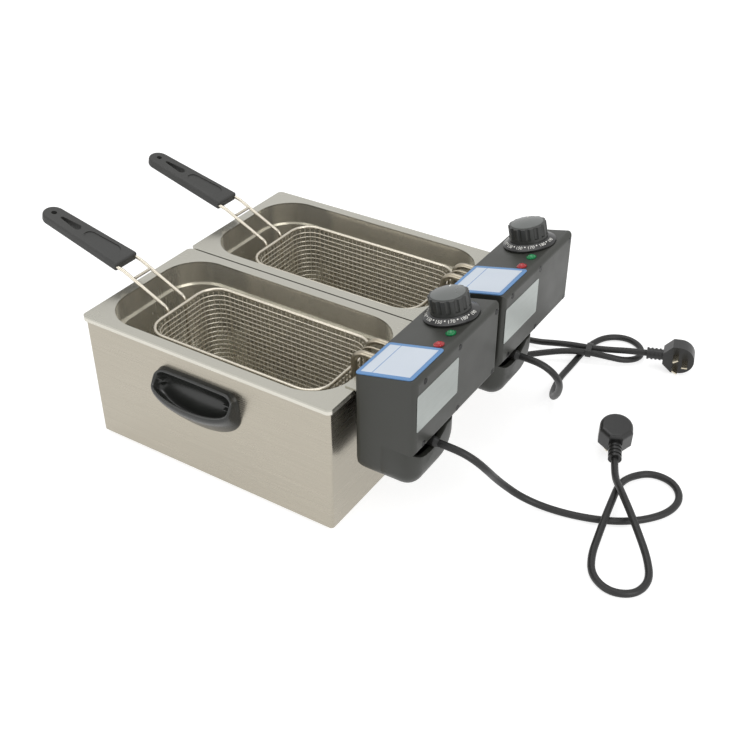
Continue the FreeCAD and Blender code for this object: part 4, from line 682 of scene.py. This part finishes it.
def buildLabel():
    wide = labelSpec["acrossX"][1] - labelSpec["acrossX"][0]
    tall = labelSpec["alongSlope"][1] - labelSpec["alongSlope"][0]
    thick, border = labelSpec["thick"], labelSpec["border"]
    plateBlank(wide, tall, labelSpec["corner"], thick)
    bpy.ops.mesh.inset(thickness=border)
    # the pale field, split by a narrow blue line into a margin strip and a main field
    split = tall / 2 - border - labelSpec["strip"]
    for offset in (split, split - labelSpec["divider"]):
        bpy.ops.mesh.select_mode(type="FACE")
        bpy.ops.mesh.select_all(action="SELECT")
        bpy.ops.mesh.bisect(plane_co=(0, -offset, 0), plane_no=(0, 1, 0))
    bpy.ops.object.mode_set(mode="OBJECT")
    label = bpy.context.object
    label.data.materials.append(labelBlue)
    label.data.materials.append(labelPale)
    inX = wide / 2 - border - near
    inY = tall / 2 - border - near
    for face in label.data.polygons:
        middle = face.center
        onField = middle.z > thick / 2 and abs(middle.x) < inX and abs(middle.y) < inY
        onLine = -split < middle.y < -split + labelSpec["divider"]
        face.material_index = 1 if onField and not onLine else 0
    label.name = "right_panel_label"
    slope = (labelSpec["alongSlope"][0] + labelSpec["alongSlope"][1]) / 2
    middleX = (labelSpec["acrossX"][0] + labelSpec["acrossX"][1]) / 2
    turn = Matrix.Rotation(panelSpec["tilt"], 4, "X")
    along = turn @ Vector((0, slope, labelSpec["lift"]))
    spot = (sides["right"] + middleX, panelSpec["lowY"] + along.y, panelSpec["lowZ"] + along.z)
    placeInMesh(label, Matrix.Translation(spot) @ turn)
    return label


def buildFoilPlate():
    wide = foilSpec["acrossX"][1] - foilSpec["acrossX"][0]
    tall = foilSpec["toZ"] - foilSpec["fromZ"]
    plateBlank(wide, tall, foilSpec["corner"], foilSpec["thick"])
    bpy.ops.mesh.inset(thickness=foilSpec["margin"])
    bpy.ops.mesh.inset(thickness=foilSpec["line"], depth=-foilSpec["lineDepth"])  # a pressed line
    bpy.ops.object.mode_set(mode="OBJECT")
    plate = bpy.context.object
    plate.name = "right_foil_plate"
    middleX = sides["right"] + (foilSpec["acrossX"][0] + foilSpec["acrossX"][1]) / 2
    spot = (middleX, foilSpec["faceY"], (foilSpec["fromZ"] + foilSpec["toZ"]) / 2)
    stand = Matrix.Rotation(math.pi, 4, "Z") @ Matrix.Rotation(math.pi / 2, 4, "X")
    placeInMesh(plate, Matrix.Translation(spot) @ stand)
    return plate


label = buildLabel()
foilPlate = buildFoilPlate()
for side, plate in (("right", label), ("left", copyOf(label, "left_panel_label", shiftLeft))):
    dressPiece(plate, labelBlue, side + "_head")
for side, plate in (("right", foilPlate), ("left", copyOf(foilPlate, "left_foil_plate", shiftLeft))):
    dressPiece(plate, foil, side + "_head")
print("plates on")


# dial figures and dots, printed on the sloping skirt
dialSpec = {
    "axis": (sides["right"] - 0.075, casingY + 0.202, 0.19577),
    "figures": ["0", "50", "70", "90", "110", "130", "150", "170", "180", "190"],
    "start": -180, "step": 30,  # degrees round the dial
    "radius": 0.0262, "height": 0.0048, "slopeIn": 0.8575, "slopeUp": 0.5145,  # the skirt's cone
    "tall": 0.0056, "dot": 0.0009, "dotUp": 0.0012, "ink": 0.00015,
}
dialTurn = Matrix.Translation(dialSpec["axis"]) @ Matrix.Rotation(panelSpec["tilt"], 4, "X")


def skirtPlace(degrees):
    # a frame lying on the skirt's cone, its Y pointing up the cone
    angle = math.radians(degrees)
    outward = Vector((math.cos(angle), math.sin(angle), 0))
    across = Vector((-math.sin(angle), math.cos(angle), 0))
    up = -dialSpec["slopeIn"] * outward + Vector((0, 0, dialSpec["slopeUp"]))
    normal = dialSpec["slopeUp"] * outward + Vector((0, 0, dialSpec["slopeIn"]))
    local = Matrix((across, up, normal)).transposed().to_4x4()
    local.translation = dialSpec["radius"] * outward + Vector((0, 0, dialSpec["height"]))
    return dialTurn @ local


def printFigure(figure):
    deselect()
    bpy.ops.object.text_add(location=(0, 0, 0))
    words = bpy.context.object
    words.data.body = figure
    words.data.size = dialSpec["tall"]
    words.data.align_x = "CENTER"
    words.data.align_y = "CENTER"
    words.data.extrude = dialSpec["ink"]
    words.data.resolution_u = 3
    bpy.ops.object.convert(target="MESH")
    return bpy.context.object


def printDot():
    deselect()
    bpy.ops.mesh.primitive_circle_add(vertices=12, radius=dialSpec["dot"], fill_type="NGON",
                                      location=(0, 0, 0))
    bpy.ops.object.mode_set(mode="EDIT")
    bpy.ops.mesh.extrude_region_move(TRANSFORM_OT_translate={"value": (0, 0, dialSpec["ink"])})
    bpy.ops.object.mode_set(mode="OBJECT")
    return bpy.context.object


def buildDialMarks():
    marks = []
    dotShift = Matrix.Translation((0, dialSpec["dotUp"], 0))
    for count, figure in enumerate(dialSpec["figures"]):
        mark = printFigure(figure)
        placeInMesh(mark, skirtPlace(dialSpec["start"] + count * dialSpec["step"]))
        marks.append(mark)
        if count < len(dialSpec["figures"]) - 1:
            dot = printDot()
            placeInMesh(dot, skirtPlace(dialSpec["start"] + (count + 0.5) * dialSpec["step"]) @ dotShift)
            marks.append(dot)
    return joined("right_dial_marks", marks)


dialMarks = buildDialMarks()
for side, piece in (("right", dialMarks), ("left", copyOf(dialMarks, "left_dial_marks", shiftLeft))):
    dressPiece(piece, dialWhite, side + "_dial")
print("dial printed")


# cup handles on the casing sides: a D-shaped flange and a scoop with a thick rolled lip
# a ring gives its half length, then its low and its high edge as (out from the wall, up from the middle)
cupSpec = {
    "half": (0.0548, 0.031), "place": (0.1785, casingY - 0.0065, 0.1035), "topCorner": 0.0145,
    "lowCorner": 0.96,  # share of the half outline that each lower corner rounds off
    "rings": [
        (0.0548, (0.0016, -0.0308), (0.0016, 0.0308)),  # flange edge
        (0.0539, (0.0042, -0.0285), (0.0034, 0.0303)),
        (0.0527, (0.0215, -0.0085), (0.0052, 0.0298)),  # under the lip
        (0.0518, (0.0243, -0.0020), (0.0064, 0.0290)),
        (0.0505, (0.0236, 0.0036), (0.0066, 0.0276)),  # crest
        (0.0489, (0.0206, 0.0034), (0.0056, 0.0262)),
        (0.0478, (0.0190, -0.0008), (0.0036, 0.0250)),
        (0.0458, (0.0152, -0.0080), (0.0014, 0.0222)),  # inside the scoop
        (0.0405, (0.0100, -0.0108), (0.0011, 0.0150)),
    ],
    "floorInset": 0.006,
    "rib": (0.0085, 0.0085, 0.0011), "ribEdge": 0.0004, "ribOut": 0.001,
    "ribAt": [(0.0446, 0.0180), (0.0436, 0.0118)],
}


def selectedSpots():
    # edit mode: where the selected verts are
    mesh = bmesh.from_edit_mesh(bpy.context.object.data)
    return [vert.co.copy() for vert in mesh.verts if vert.select]


def nextRing(span, low, high, lean):
    # edit mode: pulls the selected ring out to a new one, and says how far that one leans
    bpy.ops.mesh.extrude_region_move(TRANSFORM_OT_translate={"value": (0, 0, 0)})
    spots = selectedSpots()
    centre = Vector([(min(s[axis] for s in spots) + max(s[axis] for s in spots)) / 2 for axis in range(3)])
    bpy.ops.transform.rotate(value=-lean, orient_axis="Y", center_override=centre)
    spots = selectedSpots()
    wide = max(s.y for s in spots) - min(s.y for s in spots)
    tall = max(s.z for s in spots) - min(s.z for s in spots)
    out, rise = low[0] - high[0], high[1] - low[1]
    bpy.ops.transform.resize(value=(1, 2 * span / wide, math.hypot(out, rise) / tall), center_override=centre)
    newLean = math.atan2(out, rise)
    bpy.ops.transform.rotate(value=newLean, orient_axis="Y", center_override=centre)
    middle = Vector(((low[0] + high[0]) / 2, 0, (low[1] + high[1]) / 2))
    bpy.ops.transform.translate(value=middle - centre)
    return newLean


def buildCupShell():
    halfLong, halfTall = cupSpec["half"]
    deselect()
    bpy.ops.mesh.primitive_plane_add(size=2, location=(0, 0, 0), rotation=(0, math.pi / 2, 0))
    bpy.ops.object.transform_apply(location=True, rotation=True, scale=True)
    bpy.ops.object.mode_set(mode="EDIT")
    # a half round below and two smaller corners above
    selectWhere("VERT", lambda middle: middle.z < 0)
    bpy.ops.mesh.bevel(offset=cupSpec["lowCorner"], segments=12, affect="VERTICES")
    bpy.ops.mesh.select_all(action="SELECT")
    bpy.ops.transform.resize(value=(1, halfLong, halfTall))
    selectWhere("VERT", lambda middle: middle.z > halfTall - near)
    bpy.ops.mesh.bevel(offset=cupSpec["topCorner"], segments=5, affect="VERTICES")
    bpy.ops.mesh.select_all(action="SELECT")
    bpy.ops.mesh.delete(type="ONLY_FACE")
    bpy.ops.mesh.select_mode(type="EDGE")
    bpy.ops.mesh.select_all(action="SELECT")
    lean = 0.0
    for span, low, high in cupSpec["rings"]:
        lean = nextRing(span, low, high, lean)
    bpy.ops.mesh.edge_face_add()
    bpy.ops.mesh.inset(thickness=cupSpec["floorInset"])
    bpy.ops.mesh.select_all(action="SELECT")
    bpy.ops.mesh.normals_make_consistent(inside=False)
    bpy.ops.object.mode_set(mode="OBJECT")
    shell = bpy.context.object
    smooth = shell.modifiers.new("smooth", "SUBSURF")
    smooth.levels = 2
    smooth.render_levels = 2
    applyAll(shell)
    bpy.ops.object.shade_smooth()
    return shell


def buildCupRibs():
    # thin moulded ribs at both ends of the scoop
    deselect()
    bpy.ops.mesh.primitive_cube_add(size=1, location=(0, 0, 0))
    bpy.ops.object.mode_set(mode="EDIT")
    bpy.ops.transform.resize(value=cupSpec["rib"])
    bpy.ops.mesh.bevel(offset=cupSpec["ribEdge"], segments=2, affect="EDGES")
    bpy.ops.object.mode_set(mode="OBJECT")
    rib = bpy.context.object
    out = cupSpec["rib"][0] / 2 + cupSpec["ribOut"]
    ribs = []
    for alongY, up in cupSpec["ribAt"]:
        for end in (1, -1):
            ribs.append(copyOf(rib, "rib", (out, end * alongY, up)))
    pickOnly(rib)
    bpy.ops.object.delete()
    return ribs


cupShell = buildCupShell()
rightCup = joined("right_cup_handle", [cupShell, *buildCupRibs()])
leftCup = copyOf(rightCup, "left_cup_handle", (0, 0, 0))
cupX, cupY, cupZ = cupSpec["place"]
placeInMesh(rightCup, Matrix.Translation((cupX, cupY, cupZ)))
placeInMesh(leftCup, Matrix.Translation((-cupX, cupY, cupZ)) @ Matrix.Rotation(math.pi, 4, "Z"))
for side, cup in (("right", rightCup), ("left", leftCup)):
    dressPiece(cup, cupPlastic, "casing")
    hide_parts(side + "_carry_handle")
print("cup handles on, spans", [round(span, 4) for span in rightCup.dimensions])


# knob caps: a shallow domed disc with an index line at its edge, painted lighter grey than the knob as a
# painted highlight
capSpec = {
    "dome": 0.0785, "across": 0.0365, "top": 0.02735, "skirt": 0.0008, "sliver": 0.00001,
    "index": (0.0016, 0.006, 0.0005), "indexAt": 200, "indexEdge": 0.0002,
    "indexIn": 0.6,  # the line's middle lies this share of its length inside the edge
}


def domeFall(reach):
    # how far the dome has dropped at this distance from its middle
    return capSpec["dome"] - math.sqrt(capSpec["dome"] ** 2 - reach ** 2)


def buildKnobCap():
    cutZ = capSpec["dome"] - domeFall(capSpec["across"] / 2)
    deselect()
    bpy.ops.mesh.primitive_uv_sphere_add(segments=72, ring_count=220, radius=capSpec["dome"],
                                         location=(0, 0, 0))
    bpy.ops.object.mode_set(mode="EDIT")
    bpy.ops.mesh.select_all(action="SELECT")
    bpy.ops.mesh.bisect(plane_co=(0, 0, cutZ), plane_no=(0, 0, 1), use_fill=False, clear_inner=True)
    selectWhere("EDGE", lambda middle: middle.z < cutZ + capSpec["sliver"])
    bpy.ops.mesh.extrude_region_move(TRANSFORM_OT_translate={"value": (0, 0, -capSpec["skirt"])})
    bpy.ops.mesh.select_all(action="SELECT")
    bpy.ops.transform.translate(value=(0, 0, capSpec["top"] - capSpec["dome"]))
    bpy.ops.mesh.normals_make_consistent(inside=False)
    bpy.ops.object.mode_set(mode="OBJECT")
    cap = bpy.context.object
    bpy.ops.object.shade_smooth_by_angle(angle=math.radians(40))
    cap.data.materials.append(capHighlightPlastic)
    # the index line, a short raised bar
    wide, long, tall = capSpec["index"]
    bpy.ops.mesh.primitive_cube_add(size=1, location=(0, 0, 0))
    bpy.ops.object.mode_set(mode="EDIT")
    bpy.ops.transform.resize(value=(long, wide, tall * 2))
    bpy.ops.mesh.bevel(offset=capSpec["indexEdge"], segments=2, affect="EDGES")
    bpy.ops.object.mode_set(mode="OBJECT")
    bar = bpy.context.object
    bar.data.materials.append(dialWhite)
    reach = capSpec["across"] / 2 - long * capSpec["indexIn"]
    turn = Matrix.Rotation(math.radians(capSpec["indexAt"]), 4, "Z")
    shift = Matrix.Translation((reach, 0, capSpec["top"] - domeFall(reach)))
    placeInMesh(bar, turn @ shift @ Matrix.Rotation(reach / capSpec["dome"], 4, "Y"))
    whole = joined("right_knob_cap", [cap, bar])
    placeInMesh(whole, dialTurn)
    return whole


knobCap = buildKnobCap()
for side, piece in (("right", knobCap), ("left", copyOf(knobCap, "left_knob_cap", shiftLeft))):
    dressPiece(piece, capHighlightPlastic, side + "_dial")
print("knob caps on")
